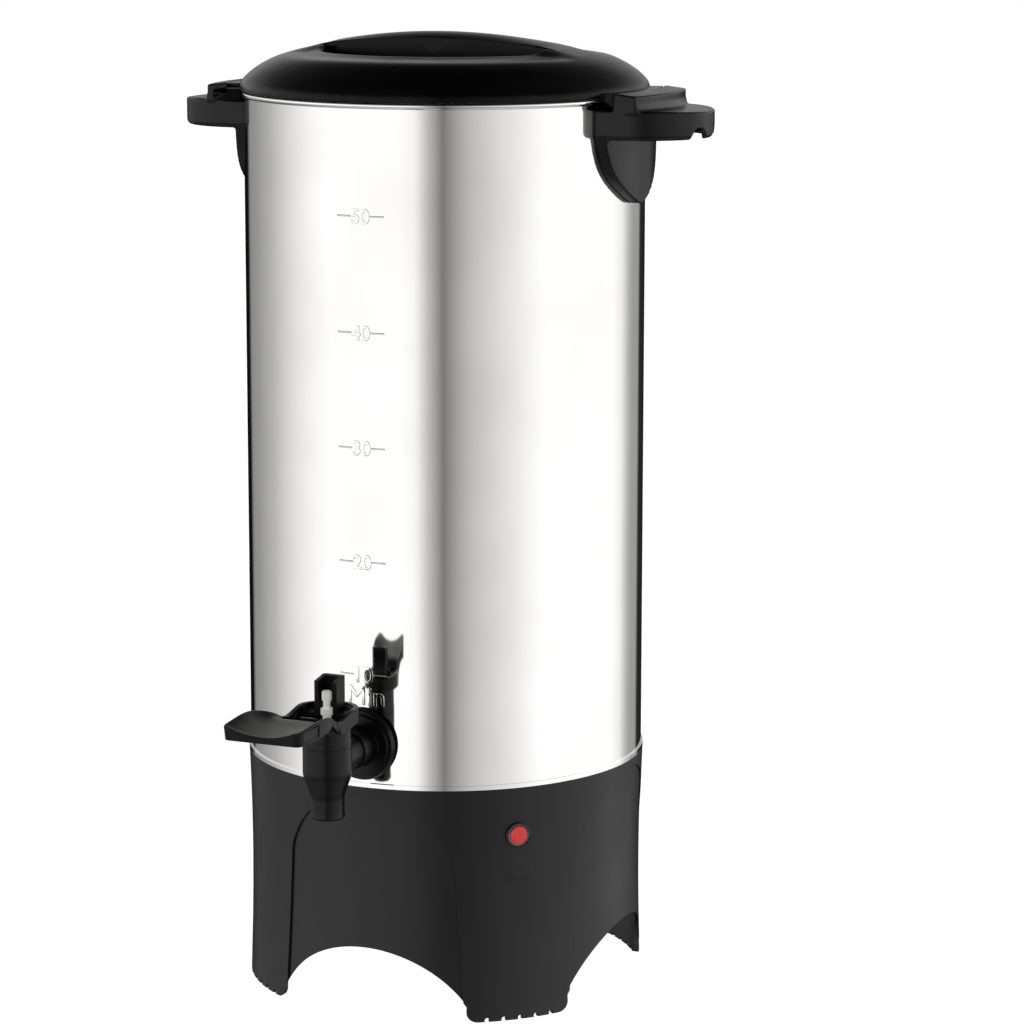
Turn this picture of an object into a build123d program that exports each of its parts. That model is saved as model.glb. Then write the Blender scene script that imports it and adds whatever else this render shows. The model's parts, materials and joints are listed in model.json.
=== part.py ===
"""Coffee urn: steel tank on a moulded base, twist-lock lid, lever tap and percolator.

The urn's axis is Z and the floor is Z = 0.  The tap faces -Y, the handles lie on +X and -X.
Angles round the urn ("bearing") start at the tap and turn towards +X.  All sizes are in mm.
"""
from math import atan2, cos, degrees, radians, sin, sqrt
import os

from build123d import *

os.makedirs("parts", exist_ok=True)

# ---- driving dimensions: tank -------------------------------------------------------------
TANK_R = 95.0  # outside of the steel cylinder
TANK_WALL = 0.6
TANK_H = 316.8  # from the base to the top of the rolled bead
BEAD_R = 1.5  # section radius of the rolled bead
FLOOR_SHEET = 0.8
SEAM_H = 2.0  # height of the folded seam under the cylinder
SEAM_GAP = 0.05
HOLE_DEPTH = 19.0  # of the cuts through the steel wall
WELL_R = 24.0  # heating well in the middle of the tank floor
WELL_DEPTH = 18.0
WELL_DRAFT = 2.0

# ---- base ---------------------------------------------------------------------------------
BASE_H = 112.0
BASE_WALL = 2.6
FOOT_OUT = 1.3  # feet beyond the cylinder
WAIST_IN = 0.2  # waist inside the cylinder
WAIST_Z = 56.0
COLLAR_LIP = 0.05  # collar beyond the seam
FLANGE_T = 3.0
FLANGE_W = 15.9
ARCH_TOP = 34.0
ARCH_HALF = 47.2
ARCH_SPRING = 7.5  # height at which the arch leaves the foot
FOOT_ROUND = 5.0
PANEL_DEPTH = 0.9
PANEL_HALF = 42.0
PANEL_DROP = 3.5  # panel's top below the collar
PANEL_ARCH = 32.5  # height of the panel's arched top
PANEL_FLARE = 4.4
TOOTH_COUNT = 5  # notches in each foot
TOOTH_PITCH = 4.85  # degrees
NOTCH_R = 1.2
NOTCH_Z = 0.7
COVER_Z = 42.0  # underside of the ledge that the bottom cover meets
COVER_SHEET = 1.2
COVER_GAP = 0.6
COVER_RIM = 3.6
SLOT_RING_R = 26.0
COOLING_SLOTS = 8
COOLING_SLOT = (14.0, 4.0)
LEDGE_W = 5.0
LEDGE_H = 3.0
LAMP_BEARING = 44.5
LAMP_DROP = 22.8  # lamp's centre below the collar
LAMP_R = 6.2
LAMP_HOLE_LAP = 0.6  # the lens covers the hole's edge by this
LAMP_STAND = 0.25  # gap under the lens's edge
LAMP_CAP_T = 1.2
LAMP_ROUND = 0.9
LAMP_TAIL = 4.0
BLANK_DROP = 16.9  # moulded ring's centre below the lamp's
BLANK_R = 5.8
GROOVE_W = 0.5
CORD_Z = 62.0
CORD_HOLE_R = 6.0
CORD_BORE_R = 3.6
BUSHING_LIP = 2.2
BUSHING_TAIL = 5.0
BUSHING_GAP = 0.2

# ---- heaters and wiring in the base -------------------------------------------------------
HEATER_R = 31.0
HEATER_T = 6.0
TUBE_HEATER_R = 3.25
TUBE_HEATER_RING = 23.0
TUBE_HEATER_GAP = 40.0  # degrees either side of the elements' open end
PIN_LENGTH = 12.0
PIN_ROD_R = 1.6
BAND_T = 1.6
BAND_H = 9.0
BAND_DROP = 2.0
STUD_PITCH_R = 66.0
STUD_R = 4.0
STUD_THREAD_R = 2.0
STUD_TAIL = 7.0  # thread that stands out below the cover
STUD_COUNT = 3
STUD_BEARING = 0.0
THERMOSTAT_R = 8.0
THERMOSTAT_H = 7.0
THERMOSTAT_RING = 50.0
THERMOSTAT_BEARINGS = (150.0, 210.0)
BRACKET = (24.0, 8.0, 1.2)
TAB = (0.8, 6.3, 8.0)
TAB_HALF_PITCH = 5.0
FUSE_Y = 42.0
FUSE_R = 3.0
FUSE_LENGTH = 22.0
TERMINAL_Y = 58.0
TERMINAL_BLOCK = (34.0, 17.0, 12.0)
TERMINAL_PITCH = 11.0
TERMINAL_BORE_R = 2.2
TERMINAL_SCREW_H = 4.0
WIRE_R = 1.1

# ---- lid ----------------------------------------------------------------------------------
LID_OVER = 2.0  # lid's edge beyond the cylinder
LID_LIFT = 0.2  # lid's edge above the bead
LID_WALL = 2.4
LIP_T = 1.0
CROWN_R = 60.0
CROWN_RISE = 20.8  # above the bead
DOME_SHARES = ((0.008, 0.121), (0.053, 0.267), (0.162, 0.447), (0.323, 0.631), (0.551, 0.806))
RECESS_R = 57.0
RECESS_FLOOR_R = 44.0
RECESS_DEPTH = 25.0
RECESS_LIP = 2.0  # height of the crown's rounding into the recess
GRIP_HALF = 64.5
GRIP_RISE = 6.7
GRIP_W = 24.0
GRIP_DRAFT = 1.5
GRIP_ROUND = 2.0
SPIGOT_GAP = 0.9  # between the spigot and the bead
SPIGOT_WALL = 1.8
GASKET_T = 2.0
SOFT_GAP = 0.3  # round the gasket and under the seat cup
LINER_GAP = 1.8  # between the recess's floor and the liner
BOSS_REACH = 6.0  # beyond the lid's edge
BOSS_RISE = 2.4  # boss's top above the bead
BOSS_T = 6.0
BOSS_HALF = 18.5  # degrees
TONGUE_REACH = 5.7  # below the hook
TONGUE_SPAN = 8.0  # degrees
TONGUE_T = 3.2
TONGUE_START = 18.0  # degrees from the handle's middle
TONGUE_ROOM = 0.9  # above the tongue
LOCK_TURN = 14.0  # degrees, clockwise seen from above
VENT_R = 1.0
VENT_AT_R = 83.0
VENT_BEARING = 8.0
POST_PITCH_R = 74.0
POST_R = 3.6
LINER_SHEET = 0.8
LINER_SCREW_R = 1.5
LINER_SCREW_LENGTH = 9.0

# ---- handles ------------------------------------------------------------------------------
HANDLE_HALF = 33.4  # half width of the plate, slab and hook
HANDLE_DROP = 5.3  # grip's top below the bead
HANDLE_T = 13.5
GRIP_OFF = 5.0  # centre of the grip's round end, beyond the steel
PLATE_T = 5.2
PLATE_GAP = 0.05
PLATE_DROP = 44.7  # shield's lowest point below the grip's top
PLATE_KNEE_DROP = 8.5  # where its sides start to draw in
SHIELD_SHARES = ((0.919, 0.652), (0.635, 0.282))
HOOK_GAP = 0.6  # between the lid's boss and the hook
HOOK_CLEAR = 0.4
HOOK_WALL = 3.5
HOOK_ROOF = 3.6
HOOK_SLOPE = 1.2
HOOK_CORNER = 3.0
HOLLOW_WALL = 2.8
SCALLOP_R = 5.2
SCALLOP_ANGLE = 17.0
CHANNEL_GAP = 1.2  # outside the tongue
CHANNEL_SPARE = 0.7  # degrees beyond the locked tongue
TIP_DROP = 1.2
SLAB_ROUND = 2.4
SCREW_BEARING = 11.0  # degrees either side of the handle's middle
SCREW_ROOM = 0.1  # between the screws' heads and the lid's liner
SCREW_R = 2.0
SCREW_LENGTH = 9.0
SCREW_BOSS_R = 4.3
SCREW_WASHER_R = 4.5
SCREW_WASHER_T = 0.8
SCREW_HEAD_T = 2.4

# ---- tap ----------------------------------------------------------------------------------
TAP_UP = 20.7  # tap's axis above the base
TAP_REACH = 37.9  # valve's axis beyond the steel
TAP_R = 11.25
JOINT_UP = 7.5  # joint of body and bonnet above the tap's axis
NOZZLE_R = 7.9
NOZZLE_DROP = 26.0  # below the tap's axis
NOZZLE_LIP = 0.2
NOZZLE_EDGE = 0.8
NOZZLE_BAND = 3.0
NOZZLE_H = 9.0  # straight part of the nozzle
SHOULDER_UP = 22.3  # top of the nozzle's flare above its mouth
FLARE_SHARES = ((0.338, 0.376), (0.761, 0.677))
NOZZLE_BORE_R = 5.2
CHAMBER_R = 8.6
SEAT_DROP = 11.7  # seat below the tap's axis
NECK_R = 8.2
NECK_HUB = 16.0  # hub's end beyond the steel
HUB_R = 10.0
HUB_TAPER = 4.0  # degrees
TAP_FLANGE_R = 17.0
TAP_FLANGE_T = 3.4
FLANGE_STEP = 1.2
FLANGE_TAPER = 20.0  # degrees
FLANGE_RING = 2.0  # raised ring inside the flange's edge
TAIL_R = 8.0
TAIL_BORE_R = 4.8
TAIL_LENGTH = 17.0
WASHER_R = 14.5
WASHER_T = 1.4
NUT_R = 12.5
NUT_T = 7.0
NUT_TAPER = 8.0  # degrees
HOLE_GAP = 0.4
BONNET_H = 12.8
BONNET_IN = 0.25  # bonnet's radius inside the tap's
BONNET_BAND = 3.0
BONNET_SKIRT_H = 4.0
BONNET_SKIRT_T = 1.8
CUP_ROOM = 4.0  # above the joint, for the seat cup's top

# ---- tap lever and valve ------------------------------------------------------------------
PIVOT_AHEAD = 14.5  # the lever's pin lies this far in front of the valve's axis
PIVOT_UP = 0.4  # above the bonnet
PIN_R = 1.4
PIN_GAP = 0.06
PIN_HALF = 13.0
LUG_R = 3.0
LUG_HALF = 6.0
LEVER_W = 38.6
LEVER_REACH = 66.1  # front edge beyond the valve's axis
LEVER_FRONT_H = 6.1  # height of the front edge
LEVER_RING_R = 14.2
LEVER_WALL = 2.2
LEVER_UP = 2.9  # front edge's underside above the pin
LEVER_CORNER = 3.0
LEVER_FLARE = (20.6, 26.6)  # ahead of the pin: the flare's bend and its end
LEVER_FLARE_IN = 0.6
# side view, ahead of and above the pin
LEVER_TOP = ((42.6, 10.1), (32.6, 10.9), (21.6, 9.6), (11.1, 6.6), (1.6, 3.0), (-11.4, 4.7))
LEVER_UNDER = ((-18.4, -1.4), (-0.4, -3.4), (8.6, 1.9), (14.6, 3.9), (28.6, 3.0))
LEVER_HOLLOW = ((49.4, 3.0), (48.4, 3.6), (28.6, 5.4), (18.6, 5.5), (12.6, 3.6))
RING_TOP = 4.8  # ring's top above the pin
LEVER_OPEN = 3.6  # opening's front edge ahead of the pin
LEVER_FLOOR_GAP = 0.9
LEVER_FLOOR_T = 2.0
DISH_R = 59.0
DISH_AHEAD = 38.6
DISH_UP = 7.2
DISH_LENGTH = 60.0
DISH_TILT = 2.0  # degrees
BLOCK_W = 11.2
BLOCK_FRONT = 1.4
BLOCK_BACK = 8.4
BLOCK_H = 18.6  # above the pin
BLOCK_WALL = 2.0
BLOCK_SLOPE = 1.6
BLOCK_ROUND = 1.5
RIB_R = 1.5
RIB_BEHIND = 1.1
RIB_GAP = 0.2
RIB_ROOM = 0.3  # under the stem's head
STEM_HEAD_R = 2.3
STEM_HEAD_UP = 13.0  # above the bonnet
STEM_HEAD_H = 4.3
STEM_EDGE = 0.6
STEM_NECK_R = 1.7
STEM_BASE_R = 2.9
STEM_BASE_UP = 4.9  # above the bonnet
STEM_BASE_H = 2.8
STEM_GAP = 0.08
STEM_R = 2.0
STEM_FOOT_R = 4.0
STEM_FOOT_H = 1.6
CUP_T = 2.6
CUP_R = 7.5
CUP_H = 8.0
GRIP_FIT = 0.02  # soft pieces round the hard ones they hold

# ---- percolator ---------------------------------------------------------------------------
PUMP_R = 4.6
PUMP_WALL = 0.7
PUMP_DROP = 20.8  # pump tube's top below the bead
FOOT_BELL_R = 19.5
FOOT_BELL_H = 15.0
FOOT_BELL_RIM = 3.0
FOOT_BELL_VENT_R = 2.0
FOOT_SLEEVE = 6.0
FOOT_SHEET = 0.8
BASKET_R = 70.0
BASKET_DROP = 67.0  # basket's floor below the tube's top
BASKET_H = 52.0
BASKET_SHEET = 0.7
SLEEVE_GAP = 0.3
SLOT_COUNT = 12
SLOT_W = 1.2
SLOT_LENGTH = 11.2
COLLAR_H = 3.0
COLLAR_W = 2.6
COVER_OVER = 3.0  # cover's edge beyond the basket
COVER_EDGE = 4.0

# ---- heights and radii that follow ---------------------------------------------------------
FOOT_R = TANK_R + FOOT_OUT
WAIST_R = TANK_R - WAIST_IN
COLLAR_R = TANK_R + SEAM_GAP + FLOOR_SHEET + COLLAR_LIP
FLANGE_BORE_R = COLLAR_R - FLANGE_W
PANEL_TOP = BASE_H - PANEL_DROP
LAMP_Z = BASE_H - LAMP_DROP
BLANK_Z = LAMP_Z - BLANK_DROP
TANK_TOP = BASE_H + TANK_H
CROWN_Z = TANK_TOP + CROWN_RISE
LID_R = TANK_R + LID_OVER
LIP_R = LID_R - LIP_T
SPIGOT_R = TANK_R - BEAD_R - SPIGOT_GAP
SPIGOT_LOW = CROWN_Z - RECESS_DEPTH - LID_WALL - LINER_GAP
GASKET_W = LIP_R - SPIGOT_R - 2 * SOFT_GAP
BOSS_R = LID_R + BOSS_REACH
HOOK_IN_R = BOSS_R + HOOK_GAP
TONGUE_R = HOOK_IN_R + TONGUE_REACH
CHANNEL_OUT_R = TONGUE_R + CHANNEL_GAP
HOOK_OUT_R = CHANNEL_OUT_R + HOOK_WALL
HANDLE_TOP = TANK_TOP - HANDLE_DROP
TONGUE_Z = HANDLE_TOP + HOOK_CLEAR
CHANNEL_TOP = TONGUE_Z + TONGUE_T + TONGUE_ROOM
HOOK_TOP = CHANNEL_TOP + HOOK_ROOF
GRIP_CENTRE = TANK_R + GRIP_OFF
PLATE_R = TANK_R + PLATE_T
PLATE_LOW = HANDLE_TOP - PLATE_DROP
PLATE_KNEE = HANDLE_TOP - PLATE_KNEE_DROP
SCREW_Z = SPIGOT_LOW - LINER_SHEET - 2 * SCREW_R - SCREW_ROOM
TAP_Z = BASE_H + TAP_UP
TAP_AXIS = TANK_R + TAP_REACH
JOINT_Z = TAP_Z + JOINT_UP
NOZZLE_Z = TAP_Z - NOZZLE_DROP
SEAT_Z = TAP_Z - SEAT_DROP
NECK_END = TANK_R + NECK_HUB
BONNET_R = TAP_R - BONNET_IN
BONNET_TOP = JOINT_Z + BONNET_H
PIVOT_Z = BONNET_TOP + PIVOT_UP
LEVER_FRONT = TAP_AXIS + LEVER_REACH
LEVER_LOW = PIVOT_Z + LEVER_UP
BLOCK_TOP = PIVOT_Z + BLOCK_H
STEM_HEAD_TOP = BONNET_TOP + STEM_HEAD_UP
STEM_BASE_TOP = BONNET_TOP + STEM_BASE_UP
RIB_Z = STEM_HEAD_TOP - STEM_HEAD_H - RIB_R - RIB_ROOM
CUP_LOW = SEAT_Z + SOFT_GAP
PUMP_TOP = TANK_TOP - PUMP_DROP
BASKET_Z = PUMP_TOP - BASKET_DROP
BASKET_SLEEVE_R = PUMP_R + SLEEVE_GAP + BASKET_SHEET

FRONT = 0.0
SIDES = (90.0, 270.0)


def at(bearing, radius, z):
    """Point at a bearing from the tap, a radius from the urn's axis and a height."""
    return (radius * sin(radians(bearing)), -radius * cos(radians(bearing)), z)


def outward(bearing, radius, z):
    """Plane that faces away from the urn's axis, with its own Y axis upright."""
    tangent = (cos(radians(bearing)), sin(radians(bearing)), 0)
    normal = (sin(radians(bearing)), -cos(radians(bearing)), 0)
    return Plane(origin=at(bearing, radius, z), x_dir=tangent, z_dir=normal)


def write(builder, name):
    """Label a finished piece and write its STEP file."""
    builder.part.label = name
    export_step(builder.part, f"parts/{name}.step")


# ============================ tank ==========================================================
tank_in_r = TANK_R - TANK_WALL
bead_z = TANK_TOP - BEAD_R
floor_under = BASE_H + FLOOR_SHEET
floor_top = floor_under + FLOOR_SHEET
tap_hole_r = TAIL_R + HOLE_GAP

with BuildPart() as tank_body:
    with BuildSketch(Plane.XZ):
        with Locations(((tank_in_r + TANK_R) / 2, (BASE_H + FLOOR_SHEET + bead_z) / 2)):
            Rectangle(TANK_WALL, bead_z - BASE_H - FLOOR_SHEET)
        with Locations((TANK_R, bead_z)):
            Circle(BEAD_R)
    revolve(axis=Axis.Z)
    with Locations(outward(FRONT, TANK_R, TAP_Z)):
        Hole(tap_hole_r, depth=HOLE_DEPTH)
    for side in SIDES:
        for turn in (-SCREW_BEARING, SCREW_BEARING):
            with Locations(outward(side + turn, TANK_R, SCREW_Z)):
                Hole(SCREW_R + HOLE_GAP / 2, depth=HOLE_DEPTH)
write(tank_body, "tank_body")

well_floor = floor_top - WELL_DEPTH
well_low_r = WELL_R - WELL_DRAFT
with BuildPart() as tank_floor:
    with BuildSketch(Plane.XZ):
        with BuildLine():
            Polyline(
                (0, well_floor),
                (well_low_r - FLOOR_SHEET, well_floor),
                (WELL_R - FLOOR_SHEET, floor_top),
                (tank_in_r - SEAM_GAP, floor_top),
                (tank_in_r - SEAM_GAP, BASE_H + FLOOR_SHEET),
                (TANK_R + SEAM_GAP, BASE_H + FLOOR_SHEET),
                (TANK_R + SEAM_GAP, BASE_H + SEAM_H),
                (TANK_R + SEAM_GAP + FLOOR_SHEET, BASE_H + SEAM_H),
                (TANK_R + SEAM_GAP + FLOOR_SHEET, BASE_H),
                (tank_in_r - SEAM_GAP - FLOOR_SHEET, BASE_H),
                (tank_in_r - SEAM_GAP - FLOOR_SHEET, floor_under),
                (WELL_R, floor_under),
                (well_low_r, well_floor - FLOOR_SHEET),
                (0, well_floor - FLOOR_SHEET),
                close=True,
            )
        make_face()
    revolve(axis=Axis.Z)
write(tank_floor, "tank_floor")

# ============================ base ==========================================================
flange_low = BASE_H - FLANGE_T
seat_r = WAIST_R - BASE_WALL  # narrowest inside radius of the skirt


def skirt_radius(z):
    """Outside radius of the skirt: one arc from the foot through the waist to the collar."""
    if z < WAIST_Z:
        return WAIST_R + (FOOT_R - WAIST_R) * ((WAIST_Z - z) / WAIST_Z) ** 2
    return WAIST_R + (COLLAR_R - WAIST_R) * ((z - WAIST_Z) / (BASE_H - WAIST_Z)) ** 2


# The panels are shallow recesses, one above each arch: a thin ring under the skin,
# kept only inside the panel's outline.
with BuildPart() as panel:
    with BuildSketch(Plane.XZ):
        with BuildLine():
            ThreePointArc(
                (FOOT_R - PANEL_DEPTH, 0),
                (WAIST_R - PANEL_DEPTH, WAIST_Z),
                (COLLAR_R - PANEL_DEPTH, BASE_H),
            )
            Polyline(
                (COLLAR_R - PANEL_DEPTH, BASE_H),
                (FOOT_R + BASE_WALL, BASE_H),
                (FOOT_R + BASE_WALL, 0),
                (FOOT_R - PANEL_DEPTH, 0),
            )
        make_face()
    revolve(axis=Axis.Z)
    with BuildSketch(Plane.XZ.offset(TANK_R / 2)):
        with BuildLine():
            knee = PANEL_TOP - PANEL_ARCH
            ThreePointArc((-PANEL_HALF, knee), (0, PANEL_TOP), (PANEL_HALF, knee))
            Polyline(
                (PANEL_HALF, knee),
                (PANEL_HALF + PANEL_FLARE, 0),
                (-PANEL_HALF - PANEL_FLARE, 0),
                (-PANEL_HALF, knee),
            )
        make_face()
    extrude(amount=TANK_R, mode=Mode.INTERSECT)

with BuildPart() as base_skirt:
    with BuildSketch(Plane.XZ):
        with BuildLine():
            ThreePointArc((FOOT_R, 0), (WAIST_R, WAIST_Z), (COLLAR_R, BASE_H))
            Polyline(
                (COLLAR_R, BASE_H),
                (FLANGE_BORE_R, BASE_H),
                (FLANGE_BORE_R, flange_low),
                (COLLAR_R - BASE_WALL, flange_low),
            )
            ThreePointArc(
                (COLLAR_R - BASE_WALL, flange_low),
                (seat_r, WAIST_Z),
                (FOOT_R - BASE_WALL, 0),
            )
            Line((FOOT_R - BASE_WALL, 0), (FOOT_R, 0))
        make_face()
        # ledge that the bottom cover is pulled up against
        with Locations((seat_r - LEDGE_W / 2 + BASE_WALL / 4, COVER_Z + LEDGE_H / 2)):
            Rectangle(LEDGE_W + BASE_WALL / 2, LEDGE_H)
    revolve(axis=Axis.Z)
    with PolarLocations(0, 4):
        add(panel.part, mode=Mode.SUBTRACT)
    # arches between the feet, cut straight through in both directions
    for plane in (Plane.XZ, Plane.YZ):
        with BuildSketch(plane):
            with BuildLine():
                bend = FOOT_ROUND * (1 - cos(radians(45)))
                ThreePointArc((-ARCH_HALF, ARCH_SPRING), (0, ARCH_TOP), (ARCH_HALF, ARCH_SPRING))
                for way in (-1, 1):
                    Line((way * ARCH_HALF, ARCH_SPRING), (way * ARCH_HALF, FOOT_ROUND))
                    ThreePointArc(
                        (way * ARCH_HALF, FOOT_ROUND),
                        (way * (ARCH_HALF + bend), bend),
                        (way * (ARCH_HALF + FOOT_ROUND), 0),
                    )
                Line((-ARCH_HALF - FOOT_ROUND, 0), (ARCH_HALF + FOOT_ROUND, 0))
            make_face()
        extrude(amount=2 * FOOT_R, both=True, mode=Mode.SUBTRACT)
    # grip notches under the feet
    for foot in range(4):
        for notch in range(TOOTH_COUNT):
            bearing = 45 + 90 * foot + (notch - (TOOTH_COUNT - 1) / 2) * TOOTH_PITCH
            with Locations(outward(bearing, FOOT_R, NOTCH_Z)):
                Cylinder(NOTCH_R, 4 * BASE_WALL, mode=Mode.SUBTRACT)
    with Locations(outward(LAMP_BEARING, WAIST_R, LAMP_Z)):
        Hole(LAMP_R - LAMP_HOLE_LAP, depth=2 * BASE_WALL)
    with Locations(outward(180, WAIST_R, CORD_Z)):
        Hole(CORD_HOLE_R, depth=2 * BASE_WALL)
    # faint moulded ring below the lamp
    with BuildSketch(outward(LAMP_BEARING, skirt_radius(BLANK_Z) + BASE_WALL, BLANK_Z)):
        Circle(BLANK_R)
        Circle(BLANK_R - GROOVE_W, mode=Mode.SUBTRACT)
    extrude(amount=-BASE_WALL - GROOVE_W, mode=Mode.SUBTRACT)
write(base_skirt, "base_skirt")

stud_spots = [
    at(STUD_BEARING + 360 / STUD_COUNT * i, STUD_PITCH_R, 0)[:2] for i in range(STUD_COUNT)
]
cover_r = seat_r - COVER_GAP
with BuildPart() as bottom_cover:
    with BuildSketch(Plane.XY.offset(COVER_Z)):
        Circle(cover_r)
        with Locations(*stud_spots):
            Circle(STUD_THREAD_R + 0.25, mode=Mode.SUBTRACT)
        # cooling slots
        with PolarLocations(SLOT_RING_R, COOLING_SLOTS):
            SlotOverall(*COOLING_SLOT, mode=Mode.SUBTRACT)
    extrude(amount=-COVER_SHEET)
    # turned-down rim that stiffens the sheet
    with BuildSketch(Plane.XY.offset(COVER_Z - COVER_SHEET)):
        Circle(cover_r)
        Circle(cover_r - COVER_SHEET, mode=Mode.SUBTRACT)
    extrude(amount=-COVER_RIM)
write(bottom_cover, "bottom_cover")

thread_low = COVER_Z - COVER_SHEET - STUD_TAIL
with BuildPart() as floor_studs:
    for spot in stud_spots:
        with Locations((*spot, 0)):
            with Locations((0, 0, COVER_Z + 0.05)):
                Cylinder(
                    STUD_R,
                    floor_under - COVER_Z - 0.05,
                    align=(Align.CENTER, Align.CENTER, Align.MIN),
                )
            with Locations((0, 0, thread_low)):
                Cylinder(
                    STUD_THREAD_R,
                    COVER_Z + 0.1 - thread_low,
                    align=(Align.CENTER, Align.CENTER, Align.MIN),
                )
write(floor_studs, "floor_studs")

with BuildPart() as cover_nuts:
    for spot in stud_spots:
        with BuildSketch(Plane.XY.offset(COVER_Z - COVER_SHEET)):
            with Locations(spot):
                Circle(2.6 * STUD_THREAD_R)
                Circle(STUD_THREAD_R + 0.03, mode=Mode.SUBTRACT)
        extrude(amount=-0.8)
        with BuildSketch(Plane.XY.offset(COVER_Z - COVER_SHEET - 0.8)):
            with Locations(spot):
                RegularPolygon(2.0 * STUD_THREAD_R, 6)
                Circle(STUD_THREAD_R + 0.03, mode=Mode.SUBTRACT)
        extrude(amount=-1.6 * STUD_THREAD_R)
write(cover_nuts, "cover_nuts")

# ============================ pilot lamp and cord bushing ===================================
lamp_plane = outward(LAMP_BEARING, skirt_radius(LAMP_Z), LAMP_Z)
lens_tail_r = LAMP_R - LAMP_HOLE_LAP - BUSHING_GAP / 2
lens_bore_r = lens_tail_r - LAMP_CAP_T
with BuildPart() as lamp_lens:
    with BuildSketch(lamp_plane.offset(-BASE_WALL - LAMP_TAIL)):
        Circle(lens_tail_r)
    extrude(amount=BASE_WALL + LAMP_TAIL + LAMP_STAND)
    with BuildSketch(lamp_plane.offset(LAMP_STAND)):
        Circle(LAMP_R)
    extrude(amount=LAMP_CAP_T)
    face = lamp_lens.faces().sort_by(Axis((0, 0, 0), tuple(lamp_plane.z_dir)))[-1]
    fillet(face.edges(), LAMP_ROUND)
    with BuildSketch(lamp_plane.offset(-BASE_WALL - LAMP_TAIL)):
        Circle(lens_bore_r)
    extrude(amount=BASE_WALL + LAMP_TAIL - LAMP_HOLE_LAP, mode=Mode.SUBTRACT)
write(lamp_lens, "lamp_lens")

with BuildPart() as lamp_holder:
    back = -BASE_WALL - 2 * LAMP_TAIL - FLANGE_T
    with BuildSketch(lamp_plane.offset(back + LAMP_CAP_T)):
        Circle(lens_bore_r - LAMP_STAND)
    extrude(amount=2 * LAMP_TAIL)
    with BuildSketch(lamp_plane.offset(back)):
        Circle(LAMP_R + LAMP_CAP_T)
    extrude(amount=LAMP_TAIL)
    with BuildSketch(lamp_plane.offset(back + LAMP_TAIL)):
        Circle(LAMP_R + LAMP_CAP_T)
        Circle(LAMP_R - LAMP_HOLE_LAP, mode=Mode.SUBTRACT)
    extrude(amount=LAMP_TAIL + FLANGE_T / 2)
write(lamp_holder, "lamp_holder")

cord_plane = outward(180, skirt_radius(CORD_Z), CORD_Z)
with BuildPart() as cord_bushing:
    with BuildSketch(cord_plane.offset(-BASE_WALL - BUSHING_TAIL)):
        Circle(CORD_HOLE_R - BUSHING_GAP / 2)
    extrude(amount=BASE_WALL + BUSHING_TAIL + BUSHING_GAP)
    with BuildSketch(cord_plane.offset(BUSHING_GAP)):
        Circle(CORD_HOLE_R + BUSHING_LIP)
    extrude(amount=BUSHING_LIP)
    fillet(cord_bushing.faces().sort_by(Axis.Y)[-1].edges(), 0.36 * BUSHING_LIP)
    with Locations(cord_plane.offset(BUSHING_GAP + BUSHING_LIP)):
        Hole(CORD_BORE_R)
write(cord_bushing, "cord_bushing")

# ============================ heaters and controls ==========================================
well_under = well_floor - FLOOR_SHEET
with BuildPart() as heater_plate:
    with BuildSketch(Plane.XY.offset(well_under)):
        Circle(HEATER_R)
    extrude(amount=-HEATER_T)
    with BuildSketch(Plane.XZ):
        with Locations((TUBE_HEATER_RING, well_under - HEATER_T)):
            Circle(TUBE_HEATER_R)
    revolve(axis=Axis.Z, mode=Mode.SUBTRACT)
write(heater_plate, "heater_plate")

element_z = well_under - HEATER_T
pin_top = element_z - 0.7 * TUBE_HEATER_R
gap_angle = TUBE_HEATER_GAP
with BuildPart() as boil_element:
    with BuildLine():
        CenterArc((0, 0, element_z), TUBE_HEATER_RING, gap_angle, 360 - 2 * gap_angle)
    start = at(90 + gap_angle, TUBE_HEATER_RING, element_z)
    along = (-sin(radians(gap_angle)), cos(radians(gap_angle)), 0)
    with BuildSketch(Plane(origin=start, z_dir=along)):
        Circle(TUBE_HEATER_R - PLATE_GAP)
    sweep()
    for way in (-1, 1):
        with Locations(at(90 - way * gap_angle, TUBE_HEATER_RING, pin_top)):
            Cylinder(PIN_ROD_R, PIN_LENGTH, align=(Align.CENTER, Align.CENTER, Align.MAX))
write(boil_element, "boil_element")

band_z = floor_under - BAND_DROP
with BuildPart() as warm_element:
    with BuildSketch(Plane.XZ):
        with BuildLine():
            slope = WELL_DRAFT / WELL_DEPTH
            inner = WELL_R - BAND_DROP * slope + 2 * PLATE_GAP
            Polyline(
                (inner, band_z),
                (inner + BAND_T, band_z),
                (inner + BAND_T, band_z - BAND_H),
                (inner - BAND_H * slope, band_z - BAND_H),
                close=True,
            )
        make_face()
    revolve(axis=Axis.Z, revolution_arc=340)
write(warm_element, "warm_element")

tab_top = floor_under - THERMOSTAT_H - BRACKET[2]
with BuildPart() as thermostats:
    for bearing in THERMOSTAT_BEARINGS:
        with Locations(at(bearing, THERMOSTAT_RING, floor_under)):
            Cylinder(THERMOSTAT_R, THERMOSTAT_H, align=(Align.CENTER, Align.CENTER, Align.MAX))
            with Locations((0, 0, -THERMOSTAT_H)):
                Box(*BRACKET, align=(Align.CENTER, Align.CENTER, Align.MAX))
            with Locations((0, 0, tab_top - floor_under)):
                with GridLocations(2 * TAB_HALF_PITCH, 1, 2, 1):
                    Box(*TAB, align=(Align.CENTER, Align.CENTER, Align.MAX))
write(thermostats, "thermostats")

with BuildPart() as thermal_fuse:
    with Locations((0, FUSE_Y, floor_under - FUSE_R - 2 * PLATE_GAP)):
        Cylinder(FUSE_R, FUSE_LENGTH, rotation=(0, 90, 0))
    fillet(thermal_fuse.edges().filter_by(GeomType.CIRCLE), FUSE_R / 4)
write(thermal_fuse, "thermal_fuse")

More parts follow.
